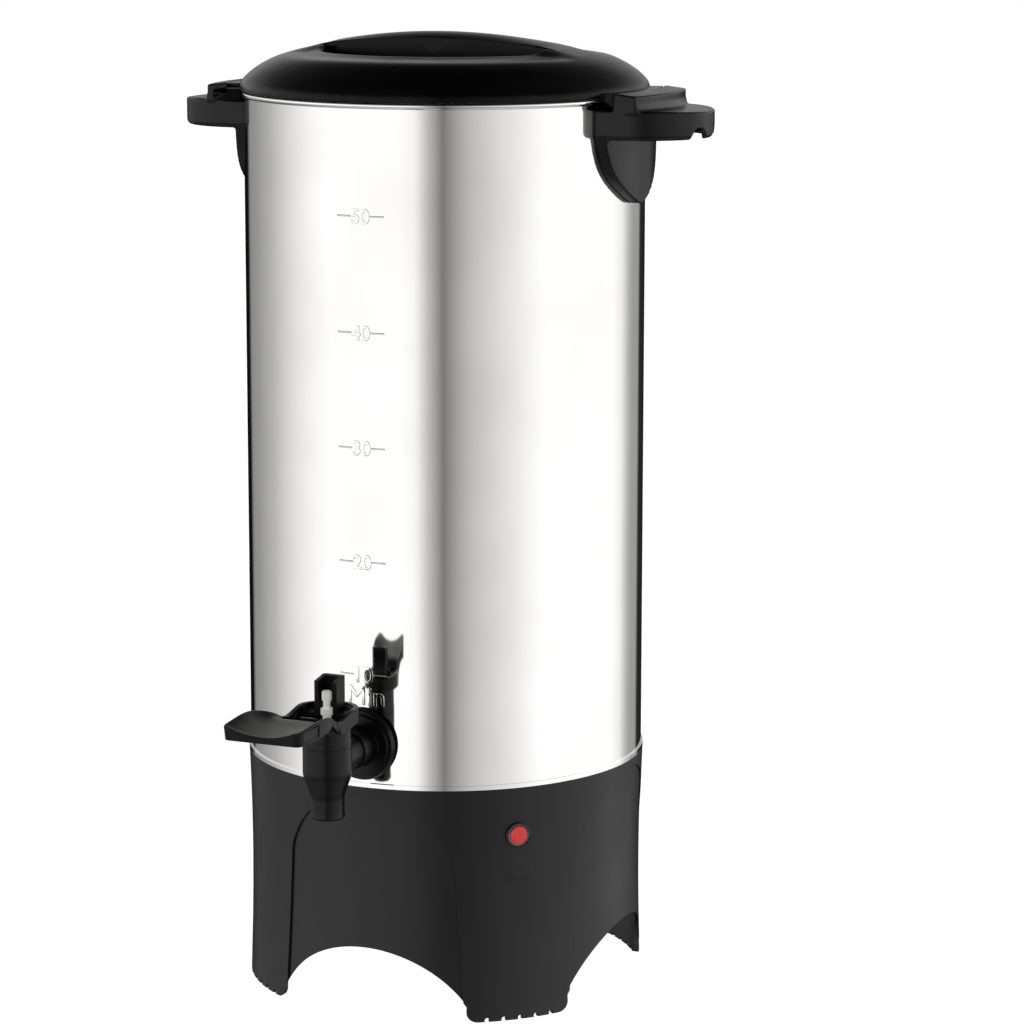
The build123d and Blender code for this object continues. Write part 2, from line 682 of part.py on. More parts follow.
terminal_h = TERMINAL_BLOCK[2]
with BuildPart() as terminal_block:
    with Locations((0, TERMINAL_Y, COVER_Z)):
        Box(*TERMINAL_BLOCK, align=(Align.CENTER, Align.CENTER, Align.MIN))
    long_edges = terminal_block.faces().sort_by(Axis.Z)[-1].edges().filter_by(Axis.X)
    chamfer(long_edges, terminal_h / 4)
    with Locations((0, TERMINAL_Y, COVER_Z + terminal_h)):
        with GridLocations(TERMINAL_PITCH, 1, 3, 1):
            Hole(TERMINAL_BORE_R, depth=terminal_h / 2)
write(terminal_block, "terminal_block")

with BuildPart() as terminal_screws:
    with Locations((0, TERMINAL_Y, COVER_Z + terminal_h / 2 + PLATE_GAP)):
        with GridLocations(TERMINAL_PITCH, 1, 3, 1):
            Cylinder(
                TERMINAL_BORE_R - 2 * PLATE_GAP,
                TERMINAL_SCREW_H,
                align=(Align.CENTER, Align.CENTER, Align.MIN),
            )
            # screwdriver slot
            with Locations((0, 0, TERMINAL_SCREW_H)):
                Box(
                    1.6 * TERMINAL_BORE_R,
                    TERMINAL_BORE_R / 3,
                    TERMINAL_SCREW_H / 5,
                    align=(Align.CENTER, Align.CENTER, Align.MAX),
                    mode=Mode.SUBTRACT,
                )
write(terminal_screws, "terminal_screws")

# ============================ lid ===========================================================
edge_z = TANK_TOP + LID_LIFT
DOME = [
    (LID_R + (CROWN_R - LID_R) * inwards, edge_z + (CROWN_Z - edge_z) * upwards)
    for inwards, upwards in ((0, 0), *DOME_SHARES, (1, 1))
]
recess_floor = CROWN_Z - RECESS_DEPTH
gasket_top = TANK_TOP + SOFT_GAP + GASKET_T
boss_top = TANK_TOP + BOSS_RISE
BOSS_PROFILE = (LID_R - 0.1, BOSS_R, boss_top - BOSS_T, boss_top)
ROOT_PROFILE = (LID_R - 0.1, BOSS_R, TONGUE_Z, boss_top - LID_WALL * 0.7)
TONGUE_PROFILE = (LID_R - 0.1, TONGUE_R, TONGUE_Z, TONGUE_Z + TONGUE_T)
CHANNEL_PROFILE = (HOOK_IN_R - 1, CHANNEL_OUT_R, HANDLE_TOP, CHANNEL_TOP)
liner_spots = [at(30 + 120 * i, POST_PITCH_R, 0)[:2] for i in range(3)]
bar_r = (GRIP_HALF**2 + GRIP_RISE**2) / (2 * GRIP_RISE)
bar_centre = CROWN_Z + GRIP_RISE - bar_r


def bar_side(half, crown, low):
    """Side view of the bar grip: arched top, upright ends."""
    with BuildSketch() as view:
        with BuildLine():
            end_z = bar_centre + sqrt(crown**2 - half**2)
            ThreePointArc((-half, end_z), (0, bar_centre + crown), (half, end_z))
            Polyline((half, end_z), (half, low), (-half, low), (-half, end_z))
        make_face()
    return view.sketch


def sector(start, end, box):
    """Part of a ring between two bearings; box is inner radius, outer radius, low z, high z."""
    inner, outer, low, high = box
    with BuildPart() as ring:
        with BuildSketch(Plane.XZ.rotated((0, 0, start - 90))):
            with Locations(((inner + outer) / 2, (low + high) / 2)):
                Rectangle(outer - inner, high - low)
        revolve(axis=Axis.Z, revolution_arc=end - start)
    return ring.part


with BuildPart() as bar_grip:
    with BuildSketch(Plane.XY.offset(recess_floor - 1)):
        Rectangle(2 * GRIP_HALF, GRIP_W + 2 * GRIP_DRAFT)
    draft = degrees(atan2(GRIP_DRAFT, RECESS_DEPTH)) / 2
    extrude(amount=RECESS_DEPTH + 2 * GRIP_RISE, taper=draft)
    with BuildSketch(Plane.XZ):
        add(bar_side(GRIP_HALF - 1, bar_r, recess_floor - 1))
    extrude(amount=GRIP_W, both=True, mode=Mode.INTERSECT)
    crown_edges = bar_grip.faces().sort_by(Axis.Z)[-1].edges().sort_by(SortBy.LENGTH)[-2:]
    fillet(crown_edges, GRIP_ROUND)
    # only what stands inside the recess or above the crown belongs to the bar
    with BuildSketch(Plane.XZ):
        with BuildLine():
            Polyline(
                (0, recess_floor - 1),
                (RECESS_FLOOR_R + 1, recess_floor - 1),
                (RECESS_R, CROWN_Z - LID_WALL / 2),
                (GRIP_HALF + GRIP_W, CROWN_Z - LID_WALL - 1),
                (GRIP_HALF + GRIP_W, CROWN_Z + 2 * GRIP_RISE),
                (0, CROWN_Z + 2 * GRIP_RISE),
                close=True,
            )
        make_face()
    revolve(axis=Axis.Z, mode=Mode.INTERSECT)

# tongue that turns in below a hook; its leading face stays clear of the hook's end
with BuildPart() as tongue:
    add(sector(90 + TONGUE_START, 90 + TONGUE_START + TONGUE_SPAN, TONGUE_PROFILE))
    with Locations((TONGUE_R, 0, TONGUE_Z)):
        Box(TONGUE_R, 2 * (HANDLE_HALF + HOOK_CLEAR), 4 * TONGUE_T, mode=Mode.SUBTRACT)

spigot_root = DOME[3][1] - 1.75 * LID_WALL
# the posts end inside the dome's wall, whose height there lies between its last two points
(outer_r, outer_z), (inner_r, inner_z) = DOME[-2:]
post_share = (outer_r - POST_PITCH_R) / (outer_r - inner_r)
post_top = outer_z + (inner_z - outer_z) * post_share - LID_WALL * 0.6
with BuildPart() as lid_shell:
    # one wall: edge, dome, crown, recess wall and recess floor
    with BuildSketch(Plane.XZ):
        with BuildLine():
            Spline(*DOME, tangents=[(0, 1), (-1, 0.18)], tangent_scalars=[0.3, 0.3])
            rim = ThreePointArc(
                (CROWN_R, CROWN_Z),
                ((CROWN_R + RECESS_R) / 2 - RECESS_LIP / 5, CROWN_Z - RECESS_LIP / 6),
                (RECESS_R, CROWN_Z - RECESS_LIP),
            )
            Polyline(
                (RECESS_R, CROWN_Z - RECESS_LIP),
                (RECESS_FLOOR_R, recess_floor),
                (0, recess_floor),
                (0, recess_floor - LID_WALL),
                (RECESS_FLOOR_R + LID_WALL, recess_floor - LID_WALL),
                (RECESS_R + LID_WALL, CROWN_Z - LID_WALL - 1),
            )
            Spline(
                (RECESS_R + LID_WALL, CROWN_Z - LID_WALL - 1),
                *[(radius - LID_WALL / 4, z - 1.1 * LID_WALL) for radius, z in DOME[5:3:-1]],
                (SPIGOT_R - SPIGOT_WALL, spigot_root),
            )
            Polyline(
                (SPIGOT_R - SPIGOT_WALL, spigot_root),
                (SPIGOT_R - SPIGOT_WALL, SPIGOT_LOW),
                (SPIGOT_R, SPIGOT_LOW),
                (SPIGOT_R, gasket_top + SOFT_GAP),
                (LIP_R, gasket_top + SOFT_GAP),
                (LIP_R, DOME[0][1]),
                DOME[0],
            )
        make_face()
    revolve(axis=Axis.Z)
    add(bar_grip.part)
    # hollow under the bar
    with BuildSketch(Plane.XZ):
        add(bar_side(CROWN_R, bar_r - LID_WALL, SPIGOT_LOW))
    extrude(amount=GRIP_W / 2 - LID_WALL, both=True, mode=Mode.SUBTRACT)
    # a boss inboard of each hook, and beside it the tongue that turns in below the hook
    for side in SIDES:
        add(sector(side - BOSS_HALF, side + BOSS_HALF, BOSS_PROFILE))
        add(sector(side + BOSS_HALF - 1, side + TONGUE_START + TONGUE_SPAN, ROOT_PROFILE))
    add(tongue.part)
    add(tongue.part, rotation=(0, 0, 180))
    with Locations((*at(VENT_BEARING, VENT_AT_R, 0)[:2], CROWN_Z)):
        Hole(VENT_R, depth=2 * RECESS_DEPTH / 3)
    # posts for the liner's screws
    for spot in liner_spots:
        with Locations((*spot, SPIGOT_LOW)):
            Cylinder(POST_R, post_top - SPIGOT_LOW, align=(Align.CENTER, Align.CENTER, Align.MIN))
    with Locations(*[(*spot, SPIGOT_LOW) for spot in liner_spots]):
        Cylinder(
            LINER_SCREW_R,
            LINER_SCREW_LENGTH + 1,
            align=(Align.CENTER, Align.CENTER, Align.MIN),
            mode=Mode.SUBTRACT,
        )
write(lid_shell, "lid_shell")

with BuildPart() as lid_gasket:
    with BuildSketch(Plane.XZ):
        with Locations(((SPIGOT_R + LIP_R) / 2, gasket_top - GASKET_T / 2)):
            RectangleRounded(GASKET_W, GASKET_T, GASKET_T / 4)
    revolve(axis=Axis.Z)
write(lid_gasket, "lid_gasket")

with BuildPart() as lid_liner:
    with BuildSketch(Plane.XY.offset(SPIGOT_LOW)):
        Circle(SPIGOT_R - SPIGOT_WALL - 0.2)
        with Locations(*liner_spots):
            Circle(LINER_SCREW_R + 0.2, mode=Mode.SUBTRACT)
        with Locations(at(VENT_BEARING, VENT_AT_R - 8, 0)[:2]):
            Circle(2 * VENT_R, mode=Mode.SUBTRACT)
    extrude(amount=-LINER_SHEET)
    # shallow stiffening dish in the middle
    with BuildSketch(Plane.XY.offset(SPIGOT_LOW - LINER_SHEET)):
        Circle(RECESS_R)
        Circle(RECESS_R - LINER_SHEET, mode=Mode.SUBTRACT)
    extrude(amount=-2 * LINER_SHEET)
write(lid_liner, "lid_liner")

with BuildPart() as liner_screws:
    for spot in liner_spots:
        with Locations((*spot, SPIGOT_LOW - LINER_SHEET)):
            Cylinder(
                LINER_SCREW_R,
                LINER_SCREW_LENGTH + LINER_SHEET,
                align=(Align.CENTER, Align.CENTER, Align.MIN),
            )
            Cylinder(
                2 * LINER_SCREW_R, LINER_SCREW_R, align=(Align.CENTER, Align.CENTER, Align.MAX)
            )
    fillet(liner_screws.faces().sort_by(Axis.Z)[:3].edges(), LINER_SCREW_R / 2)
write(liner_screws, "liner_screws")

# ============================ handles =======================================================
slab_low = HANDLE_TOP - HANDLE_T
plate_in = TANK_R + PLATE_GAP


def slab_plan(inset):
    """Plan of the grip: straight sides, half-round end, inset from the outer skin."""
    half = HANDLE_HALF - inset
    with BuildSketch() as plan:
        with BuildLine():
            ThreePointArc((GRIP_CENTRE, -half), (GRIP_CENTRE + half, 0), (GRIP_CENTRE, half))
            Polyline(
                (GRIP_CENTRE, half),
                (TANK_R / 2, half),
                (TANK_R / 2, -half),
                (GRIP_CENTRE, -half),
            )
        make_face()
    return plan.sketch


with BuildPart() as hook:
    # upright ring wall with a roof over the channel; the roof slopes outwards
    with BuildSketch(Plane.XZ):
        with BuildLine():
            Polyline(
                (HOOK_IN_R, HANDLE_TOP - 1),
                (HOOK_OUT_R + 1, HANDLE_TOP - 1),
                (HOOK_OUT_R + 1, HANDLE_TOP),
                (HOOK_OUT_R, HANDLE_TOP + HOOK_WALL),
                (HOOK_OUT_R, HOOK_TOP - HOOK_SLOPE),
                (HOOK_IN_R, HOOK_TOP),
                close=True,
            )
        make_face()
    revolve(axis=Axis.Z)
    with Locations((HOOK_OUT_R / 2 + 1, 0, HANDLE_TOP)):
        Box(HOOK_OUT_R + 2, 2 * HANDLE_HALF, HANDLE_TOP, mode=Mode.INTERSECT)
    corners = hook.edges().filter_by(Axis.Z).group_by(Axis.X)[-1]
    fillet(corners, HOOK_CORNER)

with BuildPart() as channel:
    closed_end = TONGUE_START - LOCK_TURN - CHANNEL_SPARE
    add(sector(90 + closed_end, 90 + 4 * TONGUE_SPAN, CHANNEL_PROFILE))

# shield plate that follows the steel
with BuildPart() as shield:
    with BuildSketch(Plane.YZ.offset(TANK_R / 2)):
        with BuildLine():
            for way in (-1, 1):
                Spline(
                    (way * HANDLE_HALF, PLATE_KNEE),
                    *[
                        (way * HANDLE_HALF * out, PLATE_LOW + (PLATE_KNEE - PLATE_LOW) * up)
                        for out, up in SHIELD_SHARES
                    ],
                    (0, PLATE_LOW),
                    tangents=[(0, -1), (-way, 0)],
                    tangent_scalars=[0.5, 0.5],
                )
            Polyline(
                (-HANDLE_HALF, PLATE_KNEE),
                (-HANDLE_HALF, HANDLE_TOP),
                (HANDLE_HALF, HANDLE_TOP),
                (HANDLE_HALF, PLATE_KNEE),
            )
        make_face()
    extrude(amount=TANK_R)
    with BuildSketch(Plane.XY.offset(PLATE_LOW - 1)):
        Circle(PLATE_R)
    extrude(amount=2 * TANK_R, mode=Mode.INTERSECT)

with BuildPart() as handle_right:
    with BuildSketch(Plane.XY.offset(slab_low)):
        add(slab_plan(0))
    extrude(amount=HANDLE_T)
    # the top falls away a little towards the tip
    with BuildSketch(Plane.XZ):
        with BuildLine():
            tip = GRIP_CENTRE + HANDLE_HALF + TIP_DROP  # a little past the end
            tip_top = (tip, HANDLE_TOP - TIP_DROP)
            Polyline((HOOK_OUT_R, HANDLE_TOP), (0, HANDLE_TOP), (0, 0), (tip, 0), tip_top)
            TangentArc((HOOK_OUT_R, HANDLE_TOP), tip_top, tangent=(1, 0))
        make_face()
    extrude(amount=HANDLE_HALF, both=True, mode=Mode.INTERSECT)
    rim_edges = handle_right.faces().sort_by(Axis.Z)[0].edges().filter_by(Axis.Y, reverse=True)
    fillet(rim_edges, SLAB_ROUND)
    # hollow underneath
    with BuildSketch(Plane.XY.offset(slab_low)):
        add(slab_plan(HOLLOW_WALL))
    extrude(amount=HANDLE_T - HOLLOW_WALL - TIP_DROP, mode=Mode.SUBTRACT)
    # finger scallops in the wall under the tip
    for turn in (-SCALLOP_ANGLE, SCALLOP_ANGLE):
        with Locations(
            Plane(
                origin=(GRIP_CENTRE, 0, slab_low),
                z_dir=(cos(radians(turn)), sin(radians(turn)), 0),
            )
        ):
            Cylinder(
                SCALLOP_R,
                2 * HANDLE_HALF,
                align=(Align.CENTER, Align.CENTER, Align.MIN),
                mode=Mode.SUBTRACT,
            )
    add(shield.part)
    # screw bosses behind the plate
    for turn in (-SCREW_BEARING, SCREW_BEARING):
        with BuildSketch(outward(90 + turn, TANK_R / 2, SCREW_Z)):
            Circle(SCREW_BOSS_R)
        extrude(amount=TANK_R / 2 + SCREW_LENGTH + 3)
    # everything between the steel and the plate's face outside the slab is one shell
    with BuildSketch(Plane.XY.offset(PLATE_LOW - 1)):
        Circle(plate_in)
    extrude(amount=HANDLE_T + 2 * TANK_R, mode=Mode.SUBTRACT)
    add(hook.part)
    add(channel.part, mode=Mode.SUBTRACT)
    for turn in (-SCREW_BEARING, SCREW_BEARING):
        with Locations(outward(90 + turn, TANK_R + SCREW_LENGTH + 1, SCREW_Z)):
            Hole(SCREW_R, depth=SCREW_LENGTH + 6)
write(handle_right, "handle_right")

with BuildPart() as handle_left:
    add(handle_right.part, rotation=(0, 0, 180))
write(handle_left, "handle_left")

washer_plane_r = sqrt(tank_in_r**2 - SCREW_WASHER_R**2) - 0.01
with BuildPart() as handle_washers:
    for side in SIDES:
        for turn in (-SCREW_BEARING, SCREW_BEARING):
            with BuildSketch(outward(side + turn, washer_plane_r, SCREW_Z)):
                Circle(SCREW_WASHER_R)
                Circle(SCREW_R + 0.05, mode=Mode.SUBTRACT)
            extrude(amount=-SCREW_WASHER_T)
write(handle_washers, "handle_washers")

with BuildPart() as handle_screws:
    for side in SIDES:
        for turn in (-SCREW_BEARING, SCREW_BEARING):
            seat = outward(side + turn, washer_plane_r - SCREW_WASHER_T, SCREW_Z)
            with BuildSketch(seat):
                Circle(2 * SCREW_R)
            extrude(amount=-SCREW_HEAD_T)
            with BuildSketch(seat):
                Circle(SCREW_R)
            extrude(amount=SCREW_LENGTH)
            with BuildSketch(seat.offset(-SCREW_HEAD_T)):
                Rectangle(2.6 * SCREW_R, 0.5 * SCREW_R)
            extrude(amount=SCREW_HEAD_T / 2, mode=Mode.SUBTRACT)
write(handle_screws, "handle_screws")

# ============================ tap ===========================================================
flange_back = TANK_R + PLATE_GAP + WASHER_T
tap_plane = outward(FRONT, 0, TAP_Z)
valve = Plane(origin=(0, -TAP_AXIS, 0), x_dir=(1, 0, 0), z_dir=(0, -1, 0))

shoulder_z = NOZZLE_Z + SHOULDER_UP
nozzle_neck_r = NOZZLE_R - NOZZLE_LIP
flare, flare_h = TAP_R - nozzle_neck_r, SHOULDER_UP - NOZZLE_H

with BuildPart() as tap_body:
    with BuildSketch(valve):
        with BuildLine():
            Polyline(
                (0, NOZZLE_Z),
                (NOZZLE_R - NOZZLE_EDGE, NOZZLE_Z),
                (NOZZLE_R, NOZZLE_Z + NOZZLE_EDGE),
                (nozzle_neck_r, NOZZLE_Z + NOZZLE_BAND),
                (nozzle_neck_r, NOZZLE_Z + NOZZLE_H),
            )
            Spline(
                (nozzle_neck_r, NOZZLE_Z + NOZZLE_H),
                *[
                    (nozzle_neck_r + flare * out, NOZZLE_Z + NOZZLE_H + flare_h * up)
                    for out, up in FLARE_SHARES
                ],
                (TAP_R, shoulder_z),
                tangents=[(0, 1), (0, 1)],
            )
            Polyline((TAP_R, shoulder_z), (TAP_R, JOINT_Z), (0, JOINT_Z), (0, NOZZLE_Z))
        make_face()
    revolve(axis=Axis((0, -TAP_AXIS, 0), (0, 0, 1)))
    with BuildSketch(tap_plane.offset(flange_back)):
        Circle(NECK_R)
    extrude(amount=TAP_AXIS - flange_back)
    with BuildSketch(tap_plane.offset(flange_back)):
        Circle(HUB_R)
    extrude(amount=NECK_END - flange_back, taper=HUB_TAPER)
    # dished flange with a raised ring
    with BuildSketch(tap_plane.offset(flange_back)):
        Circle(TAP_FLANGE_R)
    extrude(amount=TAP_FLANGE_T - FLANGE_STEP, taper=FLANGE_TAPER)
    with BuildSketch(tap_plane.offset(flange_back)):
        Circle(TAP_FLANGE_R - FLANGE_RING)
    extrude(amount=TAP_FLANGE_T, taper=FLANGE_TAPER / 2)
    with BuildSketch(tap_plane.offset(flange_back - TAIL_LENGTH)):
        Circle(TAIL_R)
    extrude(amount=TAIL_LENGTH + 1)
    # the neck's crown is cut away under the bonnet
    with BuildSketch(Plane.XY.offset(JOINT_Z)):
        with Locations((0, -TAP_AXIS)):
            Circle(TAP_R + 0.1)
    extrude(amount=NECK_R, mode=Mode.SUBTRACT)
    # chamber, seat and nozzle bore
    with BuildSketch(Plane.XY.offset(JOINT_Z)):
        with Locations((0, -TAP_AXIS)):
            Circle(CHAMBER_R)
    extrude(amount=SEAT_Z - JOINT_Z, mode=Mode.SUBTRACT)
    with BuildSketch(Plane.XY.offset(SEAT_Z)):
        with Locations((0, -TAP_AXIS)):
            Circle(NOZZLE_BORE_R)
    extrude(amount=NOZZLE_Z - SEAT_Z, mode=Mode.SUBTRACT)
    with BuildSketch(tap_plane.offset(flange_back - TAIL_LENGTH)):
        Circle(TAIL_BORE_R)
    extrude(amount=TAP_AXIS - flange_back + TAIL_LENGTH, mode=Mode.SUBTRACT)
write(tap_body, "tap_body")

with BuildPart() as tap_washer_outer:
    with BuildSketch(tap_plane.offset(TANK_R - WASHER_R)):
        Circle(WASHER_R)
        Circle(TAIL_R + 0.05, mode=Mode.SUBTRACT)
    extrude(amount=flange_back - TANK_R + WASHER_R)
    with BuildSketch(Plane.XY.offset(TAP_Z)):
        Circle(plate_in)
    extrude(amount=WASHER_R, both=True, mode=Mode.SUBTRACT)
write(tap_washer_outer, "tap_washer_outer")

inner_seat = sqrt(tank_in_r**2 - WASHER_R**2) - WASHER_T
with BuildPart() as tap_washer_inner:
    with BuildSketch(tap_plane.offset(inner_seat)):
        Circle(WASHER_R)
        Circle(TAIL_R + 0.05, mode=Mode.SUBTRACT)
    extrude(amount=2 * WASHER_T)
    with BuildSketch(Plane.XY.offset(TAP_Z)):
        Circle(tank_in_r - PLATE_GAP)
    extrude(amount=WASHER_R, both=True, mode=Mode.INTERSECT)
write(tap_washer_inner, "tap_washer_inner")

with BuildPart() as tap_nut:
    with BuildSketch(tap_plane.offset(inner_seat)):
        RegularPolygon(NUT_R, 6, major_radius=False)
        Circle(TAIL_R + 0.02, mode=Mode.SUBTRACT)
    extrude(amount=-NUT_T)
    with BuildSketch(tap_plane.offset(inner_seat)):
        Circle(NUT_R + 1)
    extrude(amount=-NUT_T, taper=-NUT_TAPER, mode=Mode.INTERSECT)
write(tap_nut, "tap_nut")

pivot_y = -TAP_AXIS - PIVOT_AHEAD
with BuildPart() as tap_bonnet:
    with BuildSketch(valve):
        with BuildLine():
            Polyline(
                (0, JOINT_Z),
                (TAP_R, JOINT_Z),
                (TAP_R, JOINT_Z + BONNET_BAND),
                (BONNET_R, JOINT_Z + BONNET_BAND + 1),
                (BONNET_R, BONNET_TOP - 1),
                (BONNET_R - 1, BONNET_TOP),
                (0, BONNET_TOP),
                close=True,
            )
        make_face()
    revolve(axis=Axis((0, -TAP_AXIS, 0), (0, 0, 1)))
    # lug that carries the lever's pin
    with BuildSketch(Plane.YZ):
        with Locations((pivot_y, PIVOT_Z)):
            Circle(LUG_R)
        with BuildLine():
            Polyline(
                (pivot_y, PIVOT_Z + LUG_R),
                (pivot_y, PIVOT_Z - LUG_R),
                (-TAP_AXIS - BONNET_R / 2, JOINT_Z + BONNET_BAND + 1),
                (-TAP_AXIS - BONNET_R / 2, BONNET_TOP),
                (-TAP_AXIS - BONNET_R + 1.5, BONNET_TOP),
                close=True,
            )
        make_face()
    extrude(amount=LUG_HALF, both=True)
    with BuildSketch(Plane.YZ.offset(-LUG_HALF)):
        with Locations((pivot_y, PIVOT_Z)):
            Circle(PIN_R + 0.01)
    extrude(amount=2 * LUG_HALF, mode=Mode.SUBTRACT)
    # skirt that screws into the tap body
    with BuildSketch(Plane.XY.offset(JOINT_Z)):
        with Locations((0, -TAP_AXIS)):
            Circle(CHAMBER_R - 0.04)
    extrude(amount=-BONNET_SKIRT_H)
    # room above the seat cup, then the guide for the stem
    with BuildSketch(Plane.XY.offset(JOINT_Z - BONNET_SKIRT_H)):
        with Locations((0, -TAP_AXIS)):
            Circle(CHAMBER_R - BONNET_SKIRT_T)
    extrude(amount=BONNET_SKIRT_H + CUP_ROOM, mode=Mode.SUBTRACT)
    with BuildSketch(Plane.XY.offset(JOINT_Z)):
        with Locations((0, -TAP_AXIS)):
            Circle(STEM_R + STEM_GAP)
    extrude(amount=BONNET_TOP - JOINT_Z, mode=Mode.SUBTRACT)
write(tap_bonnet, "tap_bonnet")

with BuildPart() as lever_pin:
    with BuildSketch(Plane.YZ.offset(-PIN_HALF)):
        with Locations((pivot_y, PIVOT_Z)):
            Circle(PIN_R)
    extrude(amount=2 * PIN_HALF)
write(lever_pin, "lever_pin")

# ============================ lever =========================================================
ring_back = -TAP_AXIS + LEVER_RING_R
front_top = LEVER_LOW + LEVER_FRONT_H


def from_pin(points):
    """Side-view points given as (ahead of the pin, above the pin)."""
    return [(pivot_y - ahead, PIVOT_Z + above) for ahead, above in points]


with BuildPart() as tap_lever:
    # side view
    with BuildSketch(Plane.YZ):
        with BuildLine():
            top, under = from_pin(LEVER_TOP), from_pin(LEVER_UNDER)
            back_top = (ring_back, PIVOT_Z + RING_TOP)
            front = (-LEVER_FRONT, front_top)
            Spline(front, *top, back_top, tangents=[(1, 0.12), (1, 0)])
            Polyline(back_top, (ring_back, under[0][1]), under[0])
            Spline(*under, (-LEVER_FRONT, LEVER_LOW), tangents=[(-1, -0.05), (-1, 0)])
            Line((-LEVER_FRONT, LEVER_LOW), front)
        make_face()
    extrude(amount=LEVER_W / 2, both=True)
    # plan
    with BuildSketch(Plane.XY.offset(PIVOT_Z - LEVER_W / 2)):
        with BuildLine():
            half = LEVER_W / 2
            bend_y, flare_y = [pivot_y - ahead for ahead in LEVER_FLARE]
            corner_y = -LEVER_FRONT + LEVER_CORNER
            bulge = LEVER_CORNER * (1 - cos(radians(45)))
            ThreePointArc((-LEVER_RING_R, -TAP_AXIS), (0, ring_back), (LEVER_RING_R, -TAP_AXIS))
            for way in (-1, 1):
                Line((way * LEVER_RING_R, -TAP_AXIS), (way * LEVER_RING_R, pivot_y - 1))
                Spline(
                    (way * LEVER_RING_R, pivot_y - 1),
                    (way * (half - LEVER_FLARE_IN), bend_y),
                    (way * half, flare_y),
                    tangents=[(0, -1), (0, -1)],
                )
                Line((way * half, flare_y), (way * half, corner_y))
                ThreePointArc(
                    (way * half, corner_y),
                    (way * (half - bulge), -LEVER_FRONT + bulge),
                    (way * (half - LEVER_CORNER), -LEVER_FRONT),
                )
            Line((-half + LEVER_CORNER, -LEVER_FRONT), (half - LEVER_CORNER, -LEVER_FRONT))
        make_face()
    extrude(amount=LEVER_W, mode=Mode.INTERSECT)
    # dished paddle
    with Locations((0, pivot_y - DISH_AHEAD, PIVOT_Z + DISH_UP + DISH_R)):
        Cylinder(DISH_R, DISH_LENGTH, rotation=(90 + DISH_TILT, 0, 0), mode=Mode.SUBTRACT)
    # hollow under the paddle
    with BuildSketch(Plane.YZ):
        with BuildLine():
            roof = from_pin(LEVER_HOLLOW)
            below = PIVOT_Z - LEVER_RING_R
            Spline(*roof)
            Polyline(roof[-1], (roof[-1][0], below), (roof[0][0], below), roof[0])
        make_face()
    extrude(amount=LEVER_W / 2 - LEVER_WALL, both=True, mode=Mode.SUBTRACT)
    # opening round the bonnet and the stem
    with BuildSketch(Plane.XY.offset(PIVOT_Z - LEVER_W / 2)):
        with Locations((0, -TAP_AXIS)):
            Circle(LEVER_RING_R - LEVER_WALL)
        with Locations((0, -TAP_AXIS - (PIVOT_AHEAD + LEVER_OPEN) / 2)):
            Rectangle(2 * (LEVER_RING_R - LEVER_WALL), PIVOT_AHEAD + LEVER_OPEN)
    extrude(amount=LEVER_W, mode=Mode.SUBTRACT)
    # floor of the ring
    with BuildSketch(Plane.XY.offset(BONNET_TOP + LEVER_FLOOR_GAP)):
        with Locations((0, -TAP_AXIS)):
            Circle(LEVER_RING_R - LEVER_WALL / 2)
        with Locations((0, -TAP_AXIS - BLOCK_FRONT - LEVER_RING_R)):
            Rectangle(2 * LEVER_RING_R, 2 * LEVER_RING_R, mode=Mode.SUBTRACT)
    extrude(amount=LEVER_FLOOR_T)
    # U-shaped guard round the stem, its top sloping down to the front
    block_back_y = -TAP_AXIS + BLOCK_BACK
    with BuildSketch(Plane.YZ):
        with BuildLine():
            Polyline(
                (-TAP_AXIS - BLOCK_FRONT, BONNET_TOP + LEVER_FLOOR_GAP),
                (block_back_y, BONNET_TOP + LEVER_FLOOR_GAP),
                (block_back_y, BLOCK_TOP),
                (-TAP_AXIS - BLOCK_FRONT, BLOCK_TOP - BLOCK_SLOPE),
                close=True,
            )
        make_face()
    extrude(amount=BLOCK_W / 2, both=True)
    uprights = tap_lever.edges().filter_by(Axis.Z)
    fillet(
        uprights.filter_by_position(Axis.Y, block_back_y - 0.1, block_back_y + 0.1),
        BLOCK_ROUND,
    )
    with BuildSketch(Plane.XY.offset(PIVOT_Z - LEVER_W / 2)):
        with Locations((0, block_back_y - BLOCK_WALL - LEVER_RING_R)):
            Rectangle(BLOCK_W - 2 * BLOCK_WALL, 2 * LEVER_RING_R)
    extrude(amount=2 * LEVER_W, mode=Mode.SUBTRACT)
    # two ribs that lift the stem by its head
    for way in (-1, 1):
        with BuildSketch(Plane.YZ.offset(way * (STEM_NECK_R + RIB_GAP))):
            with Locations((-TAP_AXIS + RIB_BEHIND, RIB_Z)):
                Circle(RIB_R)
        extrude(amount=way * (BLOCK_W / 2 - BLOCK_WALL / 2 - STEM_NECK_R - RIB_GAP))
    # bores for the pin's ends
    with BuildSketch(Plane.YZ.offset(-PIN_HALF - PIN_GAP)):
        with Locations((pivot_y, PIVOT_Z)):
            Circle(PIN_R + PIN_GAP)
    extrude(amount=2 * (PIN_HALF + PIN_GAP), mode=Mode.SUBTRACT)
write(tap_lever, "tap_lever")

